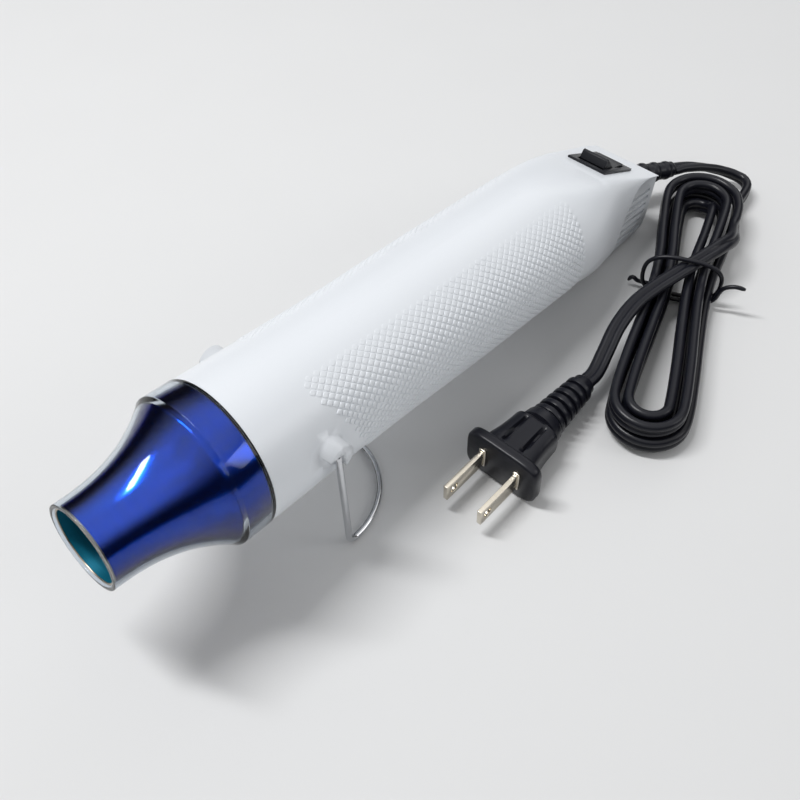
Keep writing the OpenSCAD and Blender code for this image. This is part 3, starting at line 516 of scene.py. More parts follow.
# Screws come in from the far side; a head sits below the skin, and the two upper ones are out of sight
SCREW_U = 15 * MM
SCREW_SEAT = 14 * MM
SCREW_SINK = 3 * MM
TAIL_SCREW_SINK = 4.8 * MM
SCREWS = ((8 * MM, -SCREW_U), (8 * MM, SCREW_U), (100 * MM, -SCREW_U), (100 * MM, SCREW_U),
    (140 * MM, -SCREW_U))
POCKET_R = 2.9 * MM
POCKET_REACH = 3.2 * MM     # a vertex this near a screw's axis belongs to its pocket
LID_R = 3.4 * MM
LID_T = 0.6 * MM
LID_PROUD = 0.03 * MM       # height of a lid's middle over the skin
LID_SINK = 0.1 * MM         # how much lower its rim is


def ease(share):
    return (1 - math.cos(math.pi * max(0, min(1, share)))) / 2


def soft_min(a, b, soft):
    near = max(soft - abs(a - b), 0) / soft
    return min(a, b) - near * near * soft / 4


def land_height(station):
    """Height of the top: level along the barrel, round the break and down the sloping land"""
    break_s = REAR_S - (BARREL_R - REAR_TOP) / math.tan(LAND_SLOPE)
    start = break_s - BREAK_R * math.tan(LAND_SLOPE / 2)
    along = station - start
    if along < BREAK_R * math.sin(LAND_SLOPE):
        return BARREL_R - BREAK_R + math.sqrt(BREAK_R ** 2 - max(0, along) ** 2)
    step = LAND_T * ease((station - LAND_STEP_S) / LAND_STEP_LEN)
    return REAR_TOP + (REAR_S - station) * math.tan(LAND_SLOPE) + step


def tail_ring(station, inner, steps=160):
    """Section of the tail at a station: boxier, narrower and lower towards the rear face"""
    square = ease((station - SIDES_FROM) / SQUARE_LEN)
    if inner:
        upper = 2 * square
        full = BARREL_R - SHELL_WALL
        slim = PANEL_Y - PANEL_WALL
        half = slim + (full - slim) * (1 - ease((station - SIDES_FROM) / INNER_BLEND))
        top = SHELL_WALL
        bottom = full
    else:
        upper = 0.3 * square + 1.7 * ease((station - TOP_SQUARE_FROM) / TOP_SQUARE_LEN)
        full = BARREL_R
        half = TAIL_HALF + (BARREL_R - TAIL_HALF) * (1 - ease((station - SIDES_FROM) / TAIL_BLEND))
        half -= LATE_IN * ease((station - LATE_FROM) / LATE_LEN)
        rear = max(0, station - (REAR_S - REAR_ROUND))
        top = REAR_ROUND - math.sqrt(max(0, REAR_ROUND ** 2 - rear ** 2))
        bottom = BARREL_R + (REAR_BOTTOM - BARREL_R) * ease((station - UNDER_FROM) / UNDER_LEN)
        under = max(0, station - (REAR_S - REAR_EDGE_R))
        bottom -= REAR_EDGE_R - math.sqrt(max(0, REAR_EDGE_R ** 2 - under ** 2))
        half -= top
    land = land_height(station) - top
    soft = LAND_SOFT * (LEAST_SOFT + (1 - LEAST_SOFT) * ease((station - TAIL_FROM) / SOFT_LEN))
    points = []
    for k in range(steps):
        angle = 2 * math.pi * (k + 0.5) / steps
        c, s = math.cos(angle), math.sin(angle)
        boxy = 2 + (upper if s > 0 else 5 * square)
        y = half * math.copysign(abs(c) ** (2 / boxy), c)
        u = (full if s > 0 else bottom) * math.copysign(abs(s) ** (2 / boxy), s)
        points.append((y, soft_min(u, land, soft) if s > 0 else u))
    return points


def tail_solid(inner):
    """A closed loft through the tail's sections"""
    start, end = (TAIL_FROM - 1 * MM, REAR_S - SHELL_WALL) if inner else (TAIL_FROM, REAR_S)
    stations = [start + (end - FINE_LEN - start) * i / 52 for i in range(53)]
    stations += [end - FINE_LEN * math.cos(math.pi / 2 * i / 14) for i in range(1, 15)]
    bm = bmesh.new()
    rings = []
    for station in stations:
        rings.append([bm.verts.new(TO_ROW @ Vector((station, y, u))) for y, u in tail_ring(station, inner)])
    for here, there in zip(rings, rings[1:]):
        for k in range(len(here)):
            m = (k + 1) % len(here)
            bm.faces.new((here[k], here[m], there[m], there[k]))
    bm.faces.new(rings[0])
    bm.faces.new(rings[-1])
    return to_mesh(bm, "tail")


def panel_edge(t):
    """The swept front edge of a louvre panel, as station and height"""
    weights = ((1 - t) ** 3, 3 * t * (1 - t) ** 2, 3 * t * t * (1 - t), t ** 3)
    return tuple(sum(w * p[axis] for w, p in zip(weights, PANEL_EDGE)) * MM for axis in (0, 1))


def row_prism(outline, y_from, y_to):
    """A solid with this outline of stations and heights between two distances from the parting plane"""
    bm = bmesh.new()
    near, far = ([bm.verts.new(TO_ROW @ Vector((s, y, u))) for s, u in outline] for y in (y_from, y_to))
    bm.faces.new(near)
    bm.faces.new(far)
    for k in range(len(outline)):
        m = (k + 1) % len(outline)
        bm.faces.new((near[k], near[m], far[m], far[k]))
    bmesh.ops.recalc_face_normals(bm, faces=bm.faces[:])
    return bm


def joined(parts, name):
    bm = bmesh.new()
    for part in parts:
        mesh = bpy.data.meshes.new(name)
        part.to_mesh(mesh)
        part.free()
        bm.from_mesh(mesh)
        bpy.data.meshes.remove(mesh)
    mesh = bpy.data.meshes.new(name)
    bm.to_mesh(mesh)
    bm.free()
    return mesh


def carved(mesh, cutters):
    """The mesh with each cutter taken out of it"""
    carrier = bpy.data.objects.new("carved", mesh)
    bpy.context.scene.collection.objects.link(carrier)
    tools = []
    for cutter in cutters:
        tool = bpy.data.objects.new("cutter", cutter)
        bpy.context.scene.collection.objects.link(tool)
        tools.append(tool)
        step = carrier.modifiers.new("cut", "BOOLEAN")
        step.operation = "DIFFERENCE"
        step.solver = "EXACT"
        step.object = tool
    bpy.context.view_layer.update()
    out = bpy.data.meshes.new_from_object(carrier.evaluated_get(bpy.context.evaluated_depsgraph_get()))
    for tool in tools:
        bpy.data.objects.remove(tool)
    bpy.data.objects.remove(carrier)
    return out


def tail_mesh():
    """The tail as a hollow moulding with its louvre panels, switch opening and cord hole"""
    edge = [panel_edge(i / 24) for i in range(25)] + [PANEL_CORNER]
    panels = joined([row_prism(edge, side * PANEL_Y, side * OUTSIDE) for side in (-1, 1)], "panels")
    slots = []
    slot_inside = PANEL_Y - PANEL_WALL - 0.5 * MM
    rear = REAR_S - SLOT_REAR
    for i in range(SLOT_COUNT):
        low = SLOT_LOW + i * SLOT_PITCH
        high = low + SLOT_W
        nearest = min((panel_edge(t / 100) for t in range(101)), key=lambda p: abs(p[1] - low - SLOT_W))
        front = nearest[0] + SLOT_RIM
        slot = ((front, low), (rear, low), (rear, high), (front, high))
        slots += [row_prism(slot, side * slot_inside, side * SLOT_OUTSIDE) for side in (-1, 1)]
    opening = bmesh.new()
    size = Matrix.Diagonal((*OPENING, 1))
    bmesh.ops.create_cube(opening, size=1, matrix=TO_LAND @ size)
    hole = bmesh.new()
    turn = TO_ROW @ Matrix.Translation((REAR_S, 0, CORD_U)) @ Matrix.Rotation(math.pi / 2, 4, "Y")
    bmesh.ops.create_cone(hole, cap_ends=True, segments=48, radius1=RELIEF_R, radius2=RELIEF_R,
        depth=CORD_HOLE_DEEP, matrix=turn)
    s, u = SCREWS[-1]
    angles = [2 * math.pi * k / 32 for k in range(32)]
    round_hole = [(s + POCKET_R * math.cos(a), u + POCKET_R * math.sin(a)) for a in angles]
    pocket = row_prism(round_hole, SCREW_SEAT - TAIL_SCREW_SINK, OUTSIDE)
    bodies = [joined([each], "cutter") for each in (opening, hole, pocket)]
    return carved(tail_solid(False), [tail_solid(True), panels, joined(slots, "slots"), *bodies])


def sunk_pockets(bm):
    """Deepen the barrel's screw pockets, so that the heads lie under its skin, which stays as it is"""
    back = TO_ROW.inverted()
    across = TO_ROW.to_3x3() @ Vector((0, -SCREW_SINK, 0))
    for vert in bm.verts:
        s, y, u = back @ vert.co
        below_skin = math.hypot(y, u) < barrel_at(s) - 0.1 * MM
        in_pocket = any(math.hypot(s - p, u - q) < POCKET_REACH for p, q in SCREWS)
        if below_skin and in_pocket and abs(y - SCREW_SEAT) < 0.05 * MM:
            vert.co += across


def pocket_lid(station, height):
    """A thin lens of the barrel's own curve that closes an upper pocket, its rim sunk into the skin"""
    bm = bmesh.new()
    count = 40
    layers = []
    for under in (0, LID_T):
        rings = []
        for i in range(1, 9):
            share = i / 8
            ring = []
            for k in range(count):
                angle = 2 * math.pi * k / count
                s = station + LID_R * share * math.cos(angle)
                u = height + LID_R * share * math.sin(angle)
                out = math.sqrt(barrel_at(s) ** 2 - u ** 2) + LID_PROUD - LID_SINK * share ** 4 - under
                ring.append(bm.verts.new(TO_ROW @ Vector((s, out, u))))
            rings.append(ring)
        out = math.sqrt(barrel_at(station) ** 2 - height ** 2) + LID_PROUD - under
        middle = bm.verts.new(TO_ROW @ Vector((station, out, height)))
        for k in range(count):
            bm.faces.new((middle, rings[0][k], rings[0][(k + 1) % count]))
        for here, there in zip(rings, rings[1:]):
            for k in range(count):
                m = (k + 1) % count
                bm.faces.new((here[k], here[m], there[m], there[k]))
        layers.append(rings[-1])
    for k in range(count):
        m = (k + 1) % count
        bm.faces.new((layers[0][k], layers[0][m], layers[1][m], layers[1][k]))
    bmesh.ops.recalc_face_normals(bm, faces=bm.faces[:])
    return bm


def cut_off(bm, point, normal):
    """Cut a closed mesh by a plane, drop what lies ahead of it and close the cut"""
    everything = bm.verts[:] + bm.edges[:] + bm.faces[:]
    cut = bmesh.ops.bisect_plane(bm, geom=everything, plane_co=point, plane_no=normal, clear_outer=True)
    edges = [e for e in cut["geom_cut"] if isinstance(e, bmesh.types.BMEdge)]
    bmesh.ops.holes_fill(bm, edges=edges, sides=0)


class HEATTOOL_OT_housing(bpy.types.Operator):
    """Build the two moulded halves of the housing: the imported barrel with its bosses, and a blended tail"""
    bl_idname = "heattool.housing"
    bl_label = "Housing"

    def execute(self, context):
        tail = tail_mesh()
        along, across = (TO_ROW.to_3x3() @ Vector(v) for v in ((1, 0, 0), (0, 1, 0)))
        for side, sign in (("near", -1), ("far", 1)):
            node = "housing_" + side
            barrel = node_copy(node)
            sunk_pockets(barrel)
            cut_off(barrel, TO_ROW @ Vector((TAIL_FROM, 0, 0)), along)
            half = bmesh.new()
            half.from_mesh(tail)
            cut_off(half, HINGE, across * -sign)
            parts = [barrel, half]
            if side == "far":
                parts += [pocket_lid(s, u) for s, u in SCREWS if u > 0]
            mesh = joined(parts, "shell_" + side)
            make_piece("shell_" + side, mesh, white_plastic(), "tool", (node,))
        return {"FINISHED"}


class HEATTOOL_OT_screws(bpy.types.Operator):
    """Seat the screws' heads in their pockets"""
    bl_idname = "heattool.screws"
    bl_label = "Screws"

    def execute(self, context):
        bm = node_copy("housing_screws")
        back = TO_ROW.inverted()
        across = TO_ROW.to_3x3() @ Vector((0, -1, 0))
        for vert in bm.verts:
            s, y, _ = back @ vert.co
            if y > SCREW_SEAT - 0.2 * MM:
                vert.co += across * (TAIL_SCREW_SINK if s > TAIL_FROM else SCREW_SINK)
        name, color, roughness, metallic = SCREW_FINISH
        material = finish_material(name, color, roughness, metallic, mottle=0.12, streaks=(300, 500))
        make_piece("screws", to_mesh(bm, "screws"), material, "tool", ("housing_screws",))
        return {"FINISHED"}


# Grip: diamond pads in rows round the barrel
GRIP_REAR = 114.5 * MM
GRIP_FRONT = 11.3 * MM      # where the grip starts at the height of the axis
GRIP_LEAN = -0.56           # how far that edge moves back with height
GRIP_FULL = 10.5 * MM       # height from the axis up to which the pads stand out fully
GRIP_GONE = 21 * MM         # height at which they have sunk into the smooth top and underside
LEAST_PAD = 0.15            # share of the full height below which a pad is left out
PARTING_GAP = 0.4 * MM      # pads closer to the parting plane are left out


def one_pad(long_half, wide_half, height):
    """A rounded diamond pad with its foot a little under the surface"""
    bm = bmesh.new()
    foot = -0.12 * MM
    levels = ((1.02, foot), (0.98, height * 0.35), (0.86, height * 0.8), (0.62, height))
    rings = []
    for spread, z in levels:
        ring = []
        for i in range(8):
            angle = 2 * math.pi * i / 8
            reach = 1 / (abs(math.cos(angle)) ** 1.2 + abs(math.sin(angle)) ** 1.2) ** (1 / 1.2)
            ring.append(bm.verts.new((long_half * spread * reach * math.cos(angle),
                wide_half * spread * reach * math.sin(angle), z)))
        rings.append(ring)
    for here, there in zip(rings, rings[1:]):
        for k in range(8):
            bm.faces.new((here[k], here[(k + 1) % 8], there[(k + 1) % 8], there[k]))
    bm.faces.new(rings[0])
    bm.faces.new(rings[-1])
    return to_mesh(bm, "grip_pad")


def node_maths(tree, operation, first, second=None, third=None):
    node = tree.nodes.new("ShaderNodeMath")
    node.operation = operation
    for socket, value in zip(node.inputs, (first, second, third)):
        if value is None:
            continue
        if isinstance(value, (int, float)):
            socket.default_value = value
        else:
            tree.links.new(value, socket)
    return node.outputs[0]


def compare(tree, operation, first, second):
    node = tree.nodes.new("FunctionNodeCompare")
    node.data_type = "FLOAT"
    node.operation = operation
    for socket, value in zip((node.inputs["A"], node.inputs["B"]), (first, second)):
        if isinstance(value, (int, float)):
            socket.default_value = value
        else:
            tree.links.new(value, socket)
    return node.outputs["Result"]


def grip_tree():
    """Pads on a staggered lattice round the barrel, kept on one side and behind the slanting front edge"""
    tree = bpy.data.node_groups.new("Grip pads", "GeometryNodeTree")
    inputs = (("Pad", "NodeSocketObject"), ("Columns", "NodeSocketInt"), ("Rows", "NodeSocketInt"),
        ("Row step", "NodeSocketFloat"), ("Start", "NodeSocketFloat"), ("Side", "NodeSocketFloat"),
        ("Material", "NodeSocketMaterial"))
    for label, kind in inputs:
        tree.interface.new_socket(label, in_out="INPUT", socket_type=kind)
    tree.interface.new_socket("Geometry", in_out="OUTPUT", socket_type="NodeSocketGeometry")
    into, out = tree.nodes.new("NodeGroupInput"), tree.nodes.new("NodeGroupOutput")
    link = tree.links.new
    maths = lambda *values: node_maths(tree, *values)

    points = tree.nodes.new("GeometryNodePoints")
    link(maths("MULTIPLY", into.outputs["Columns"], into.outputs["Rows"]), points.inputs["Count"])
    index = tree.nodes.new("GeometryNodeInputIndex").outputs[0]
    row = maths("FLOOR", maths("DIVIDE", index, into.outputs["Columns"]))
    column = maths("SUBTRACT", index, maths("MULTIPLY", row, into.outputs["Columns"]))
    stagger = maths("MULTIPLY", maths("MODULO", row, 2), 0.5)
    turn_share = maths("DIVIDE", maths("ADD", column, stagger), into.outputs["Columns"])
    angle = maths("MULTIPLY", turn_share, 2 * math.pi)
    station = maths("ADD", into.outputs["Start"], maths("MULTIPLY", row, into.outputs["Row step"]))
    away = maths("MINIMUM", maths("DIVIDE", maths("ABSOLUTE", maths("SUBTRACT", station, WAIST_S)),
        GRIP_S - WAIST_S), 1)
    dip = maths("MULTIPLY", maths("ADD", maths("COSINE", maths("MULTIPLY", away, math.pi)), 1), WAIST_IN / 2)
    radius = maths("SUBTRACT", BARREL_R, dip)
    across, height = (maths("MULTIPLY", radius, maths(wave, angle)) for wave in ("COSINE", "SINE"))
    place = tree.nodes.new("ShaderNodeCombineXYZ")
    for socket, value in zip(place.inputs, (station, across, height)):
        link(value, socket)
    settle = tree.nodes.new("GeometryNodeSetPosition")
    link(points.outputs["Points"], settle.inputs["Geometry"])
    link(place.outputs["Vector"], settle.inputs["Position"])

    edge = maths("ADD", GRIP_FRONT, maths("MULTIPLY", height, GRIP_LEAN))
    ahead = compare(tree, "LESS_THAN", station, edge)
    other_side = compare(tree, "LESS_THAN", maths("MULTIPLY", across, into.outputs["Side"]), PARTING_GAP)
    sink = maths("DIVIDE", maths("SUBTRACT", GRIP_GONE, maths("ABSOLUTE", height)), GRIP_GONE - GRIP_FULL)
    stand = maths("MINIMUM", sink, 1)
    screw_s, screw_u = SCREWS[2]
    from_screw = maths("ADD", maths("POWER", maths("ABSOLUTE", maths("SUBTRACT", station, screw_s)), 2),
        maths("POWER", maths("ABSOLUTE", maths("SUBTRACT", height, screw_u)), 2))
    on_far_side = maths("ADD", from_screw, maths("LESS_THAN", across, 0))
    pocket = compare(tree, "LESS_THAN", on_far_side, (POCKET_R + 1 * MM) ** 2)
    faded = compare(tree, "LESS_THAN", stand, LEAST_PAD)
    drop = ahead
    for more in (other_side, faded, pocket):
        either = tree.nodes.new("FunctionNodeBooleanMath")
        either.operation = "OR"
        link(drop, either.inputs[0])
        link(more, either.inputs[1])
        drop = either.outputs["Boolean"]
    flow = settle.outputs["Geometry"]
    for label, value in (("stand", stand), ("turn", angle)):
        keep = tree.nodes.new("GeometryNodeStoreNamedAttribute")
        keep.data_type = "FLOAT"
        keep.domain = "POINT"
        keep.inputs["Name"].default_value = label
        link(flow, keep.inputs["Geometry"])
        link(value, keep.inputs["Value"])
        flow = keep.outputs["Geometry"]
    trim = tree.nodes.new("GeometryNodeDeleteGeometry")
    link(flow, trim.inputs["Geometry"])
    link(drop, trim.inputs["Selection"])

    pad = tree.nodes.new("GeometryNodeObjectInfo")
    link(into.outputs["Pad"], pad.inputs["Object"])
    kept = {}
    for label in ("stand", "turn"):
        read = tree.nodes.new("GeometryNodeInputNamedAttribute")
        read.data_type = "FLOAT"
        read.inputs["Name"].default_value = label
        kept[label] = read.outputs["Attribute"]
    turn = tree.nodes.new("ShaderNodeCombineXYZ")
    link(maths("SUBTRACT", kept["turn"], math.pi / 2), turn.inputs["X"])
    size = tree.nodes.new("ShaderNodeCombineXYZ")
    size.inputs["X"].default_value = 1
    size.inputs["Y"].default_value = 1
    link(kept["stand"], size.inputs["Z"])
    copies = tree.nodes.new("GeometryNodeInstanceOnPoints")
    link(trim.outputs["Geometry"], copies.inputs["Points"])
    link(pad.outputs["Geometry"], copies.inputs["Instance"])
    link(turn.outputs["Vector"], copies.inputs["Rotation"])
    link(size.outputs["Vector"], copies.inputs["Scale"])
    move = tree.nodes.new("GeometryNodeTransform")
    link(copies.outputs["Instances"], move.inputs["Geometry"])
    move.inputs["Translation"].default_value = TO_ROW.to_translation()
    move.inputs["Rotation"].default_value = TO_ROW.to_euler()
    real = tree.nodes.new("GeometryNodeRealizeInstances")
    link(move.outputs["Geometry"], real.inputs["Geometry"])
    finish = tree.nodes.new("GeometryNodeSetMaterial")
    link(real.outputs["Geometry"], finish.inputs["Geometry"])
    link(into.outputs["Material"], finish.inputs["Material"])
    link(finish.outputs["Geometry"], out.inputs["Geometry"])
    return tree


def run_tree(tree, name, values):
    """The plain mesh that a tree makes from these named inputs"""
    carrier = bpy.data.objects.new(name + "_carrier", bpy.data.meshes.new(name + "_carrier"))
    bpy.context.scene.collection.objects.link(carrier)
    modifier = carrier.modifiers.new(name, "NODES")
    modifier.node_group = tree
    sockets = {item.name: item.identifier for item in tree.interface.items_tree if item.in_out == "INPUT"}
    for label, value in values.items():
        modifier[sockets[label]] = value
    bpy.context.view_layer.update()
    ready = carrier.evaluated_get(bpy.context.evaluated_depsgraph_get())
    mesh = bpy.data.meshes.new_from_object(ready)
    carrier.modifiers.clear()
    bpy.data.objects.remove(carrier)
    return mesh


class HEATTOOL_OT_grip(bpy.types.Operator):
    """Cover the barrel with its grip of diamond pads"""
    bl_idname = "heattool.grip"
    bl_label = "Grip"

    def execute(self, context):
        s = sizes()
        long_cell = s.pad_pitch / math.sin(s.groove_angle)
        wide_cell = s.pad_pitch / math.cos(s.groove_angle)
        shrink = 1 - s.groove / s.pad_pitch
        columns = round(2 * math.pi * BARREL_R / wide_cell)
        start = GRIP_FRONT + GRIP_LEAN * BARREL_R
        rows = int((GRIP_REAR - start) / (long_cell / 2)) + 1
        shape = one_pad(long_cell / 2 * shrink, wide_cell / 2 * shrink, s.pad_height)
        pad = bpy.data.objects.new("pad_shape", shape)
        tree = grip_tree()
        for name, side in (("grip_near", -1.0), ("grip_far", 1.0)):
            mesh = run_tree(tree, name, {"Pad": pad, "Columns": columns, "Rows": rows,
                "Row step": long_cell / 2, "Start": start, "Side": side, "Material": white_plastic()})
            if not mesh.polygons:
                raise RuntimeError("the grip has no pads")
            make_piece(name, mesh, white_plastic(), "tool", smooth=math.radians(50))
        bpy.data.objects.remove(pad)
        return {"FINISHED"}


class HEATTOOL_OT_nozzle(bpy.types.Operator):
    """Build the clear nozzle guard and the flared metal liner that shows through it"""
    bl_idname = "heattool.nozzle"
    bl_label = "Nozzle"

    def execute(self, context):
        steps = 48
        runs = [FLARE_LEN * i / steps for i in range(steps + 1)]
        outer = [(MOUTH_S + run, flare_at(run)) for run in runs]
        inner = [(s, r - GUARD_WALL) for s, r in reversed(outer)]
        band = MOUTH_S + FLARE_LEN
        bore = SPIGOT_R - 1.2 * MM
        skirt = BAND_R - 1.5 * MM
        flange = FRONT_S - FLANGE_BACK
        spigot = FRONT_S + SPIGOT_LEN
        guard = outer + [(band + 0.6 * MM, BAND_R), (FRONT_S, BAND_R), (FRONT_S, SPIGOT_R),
            (spigot, SPIGOT_R), (spigot, bore), (flange, bore), (flange, skirt),
            (band + 2.2 * MM, skirt)] + inner
        mesh = to_mesh(turned(rounded_corners(guard, 0.5 * MM)), "nose_guard")
        make_piece("nose_guard", mesh, clear_plastic(), "tool", ("nozzle_guard",))
        out = GUARD_WALL + LINER_FIT
        places = [LIP_BACK + (FLARE_LEN - LIP_BACK) * i / steps for i in range(steps + 1)]
        skin = [(MOUTH_S + x, flare_at(x) - out) for x in places]
        lining = [(s, r - LINER_WALL) for s, r in reversed(skin)]
        hoop = skirt - LINER_FIT
        end = flange - 0.1 * MM
        liner = skin + [(band + 1.8 * MM, hoop), (end, hoop), (end, hoop - LINER_WALL),
            (band + 2.3 * MM, hoop - LINER_WALL)] + lining
        mesh = to_mesh(turned(liner), "flared_liner")
        make_piece("flared_liner", mesh, anodised_blue_painted_light(), "tool", ("nozzle_liner",))
        # Faces that face the axis take the bore's finish, whose teal is a painted reflection
        mesh.materials.append(bore_painted_reflection())
        back = TO_ROW.inverted()
        turn_back = back.to_3x3()
        for face in mesh.polygons:
            away, facing = back @ face.center, turn_back @ face.normal
            if away.y * facing.y + away.z * facing.z < 0:
                face.material_index = 1
        front, edge = skin[0][0] - 0.25 * MM, skin[0][1]
        behind = front + 0.35 * MM
        lip = [(front, edge + 0.05 * MM), (behind, edge + 0.1 * MM),
            (behind, edge - LINER_WALL - 0.1 * MM), (front, edge - LINER_WALL - 0.05 * MM)]
        mesh = to_mesh(turned(rounded_corners(lip, 0.1 * MM)), "liner_lip")
        make_piece("liner_lip", mesh, cut_edge(), "tool")
        return {"FINISHED"}


class HEATTOOL_OT_stand(bpy.types.Operator):
    """Give the bent wire of the stand its bright drawn finish"""
    bl_idname = "heattool.stand"
    bl_label = "Wire stand"

    def execute(self, context):
        mesh = to_mesh(node_copy("wire_stand"), "bent_wire")
        make_piece("bent_wire", mesh, bright_wire(), "stand", ("wire_stand",))
        return {"FINISHED"}


class HEATTOOL_OT_switch(bpy.types.Operator):
    """Round the edges of the switch's bezel and of its rocker"""
    bl_idname = "heattool.switch"
    bl_label = "Switch"

    def execute(self, context):
        case = to_mesh(rounded_copy("switch_case", 0.3 * MM), "switch_bezel")
        make_piece("switch_bezel", case, black_plastic(), "tool", ("switch_case",))
        rocker = to_mesh(rounded_copy("switch_rocker", 0.25 * MM), "rocker_cap")
        make_piece("rocker_cap", rocker, black_plastic(), "rocker", ("switch_rocker",))
        return {"FINISHED"}


# Mains lead: the same route as its solids have
HANK_AT = (84.6 * MM, -45 * MM)
HANK_TURN = math.radians(22.4)
HANK_HALF = 50 * MM
HANK_WAIST_X = 8 * MM
HANK_LOOPS = 4
HANK_OUT = 13.5 * MM
HANK_STEP = 4.4 * MM
WAIST_OUT = 10.4 * MM
WAIST_STEP = 4.2 * MM
TIE_R = 0.8 * MM
LAYER_LOW = 2 * TIE_R + 0.1 * MM + CORD_W / 2
LAYER_HIGH = LAYER_LOW + CORD_W + 0.5 * MM
LEAD_ROUTE = ((138.5, -8.6, 12.1), (143.5, -11.2, 11.5), (150, -15.2, 9.6), (156, -20, 7),
    (159.3, -25.5, 5.2), (158.9, -30, 4.7), (155.2, -32.6, 4.6))
TAIL_ROUTE = ((118, -46, 13.2), (110, -46, 15.4), (100, -44.4, 15.9), (88, -42, 15.9), (76, -39.8, 15.9),
    (66, -38.8, 15.4), (56, -39.4, 13.2), (46, -41.8, 10.4), (38.4, -43.6, 8.5), (33.2, -43.6, 8.5))
TAIL_Z = 15.9 * MM
PLUG_AT = Vector((-10.5 * MM, -43.6 * MM, 8.5 * MM))
PLUG_BACK = 33 * MM


def hank_point(turns):
    """The middle of the lead after this many turns round the hank, drawn in at its waist"""
    rank = HANK_LOOPS / 2 - abs(turns - HANK_LOOPS / 2)
    wide, narrow = HANK_OUT - rank * HANK_STEP, WAIST_OUT - rank * WAIST_STEP
    quarter, share = divmod((turns % 1) * 4, 1)

    def run(x):
        span = HANK_HALF - HANK_WAIST_X if x > HANK_WAIST_X else HANK_HALF + HANK_WAIST_X
        return narrow + (wide - narrow) * ease(abs(x - HANK_WAIST_X) / span)

    if quarter == 0:
        x = HANK_HALF * (1 - 2 * share)
        y = -run(x)
    elif quarter == 1:
        x = -HANK_HALF - wide * math.sin(math.pi * share)
        y = -wide * math.cos(math.pi * share)
    elif quarter == 2:
        x = HANK_HALF * (2 * share - 1)
        y = run(x)
    else:
        x = HANK_HALF + wide * math.sin(math.pi * share)
        y = wide * math.cos(math.pi * share)
    z = LAYER_LOW + (LAYER_HIGH - LAYER_LOW) * ease((turns - HANK_LOOPS / 2 + 0.125) * 4)
    return hank_place(x, y, z)


def hank_place(x, y, z):
    c, s = math.cos(HANK_TURN), math.sin(HANK_TURN)
    return Vector((HANK_AT[0] + x * c - y * s, HANK_AT[1] + x * s + y * c, z))


def lead_route():
    """Points of the whole lead, each with the turn of its flat side: 0 on edge, 1 lying flat"""
    along = (hank_place(-1, 0, 0) - hank_place(0, 0, 0)).normalized()
    start, end = hank_point(0), hank_point(HANK_LOOPS)
    first, last = start - along * CORD_W, end + along * CORD_W
    out = [(Vector(p) * MM, max(0, 1 - i / 6)) for i, p in enumerate(LEAD_ROUTE)]
    out += [(first - along * 5 * MM, 0), (first, 0)]
    steps = 24 * HANK_LOOPS
    out += [(hank_point(HANK_LOOPS * i / steps), 0) for i in range(steps)] + [(end, 0)]
    out += [(last, 0), (last + along * 5 * MM, 0.25)]
    return out + [(Vector(p) * MM, min(1, (i + 2) / 4)) for i, p in enumerate(TAIL_ROUTE)]


def smooth_route(route, step):
    """The route as an even, rounded line of points that passes through all of its own"""
    out = []
    for i in range(len(route) - 1):
        p0, p1, p2, p3 = (route[max(0, min(len(route) - 1, i + d))][0] for d in (-1, 0, 1, 2))
        flat1, flat2 = route[i][1], route[i + 1][1]
        count = max(1, round((p2 - p1).length / step))
        tension = 0.5 * (p2 - p1).length
        m1 = (p2 - p0).normalized() * tension * 2
        m2 = (p3 - p1).normalized() * tension * 2
        for k in range(count):
            t = k / count
            h = (2 * t ** 3 - 3 * t ** 2 + 1, t ** 3 - 2 * t ** 2 + t, 3 * t ** 2 - 2 * t ** 3,
                t ** 3 - t ** 2)
            out.append((h[0] * p1 + h[1] * m1 + h[2] * p2 + h[3] * m2, flat1 + (flat2 - flat1) * ease(t)))
    return out + [route[-1]]


def twin_section(flat, steps=28):
    """Two round cores side by side with a furrow between them, turned by how flat the lead lies"""
    turn = math.pi / 2 * (1 - flat)
    core = CORD_T / 2
    offset = (CORD_W - CORD_T) / 2
    points = []
    for i in range(steps):
        angle = 2 * math.pi * (i + 0.5) / steps
        x, y = math.cos(angle), math.sin(angle)
        wide = (offset * abs(x) + math.sqrt(max(0, core ** 2 - (offset * y) ** 2)))
        pinch = 1 - 0.16 * math.exp(-(x / 0.16) ** 2)
        u, v = wide * x, wide * y * pinch
        points.append((u * math.cos(turn) - v * math.sin(turn), u * math.sin(turn) + v * math.cos(turn)))
    return points


class HEATTOOL_OT_lead(bpy.types.Operator):
    """Lay the flat twin lead from the tool round its hank to the plug"""
    bl_idname = "heattool.lead"
    bl_label = "Mains lead"

    def execute(self, context):
        line = smooth_route(lead_route(), 1.7 * MM)
        path = [point for point, _ in line]
        mesh = swept(path, lambda i: twin_section(line[i][1]), "mains_lead")
        lead = make_piece("mains_lead", mesh, cord_vinyl(), "tool",
            ("cord_lead", "cord_hank", "cord_tail"), smooth=math.radians(60))
        return {"FINISHED"}


# Strain relief at the tool's rear face
RELIEF_YAW = math.radians(28)
RELIEF_BEND = 12 * MM
RELIEF_LEN = 15 * MM
RELIEF_TIP_R = 3.2 * MM
RELIEF_OUT = 3 * MM
WALL = 2 * MM


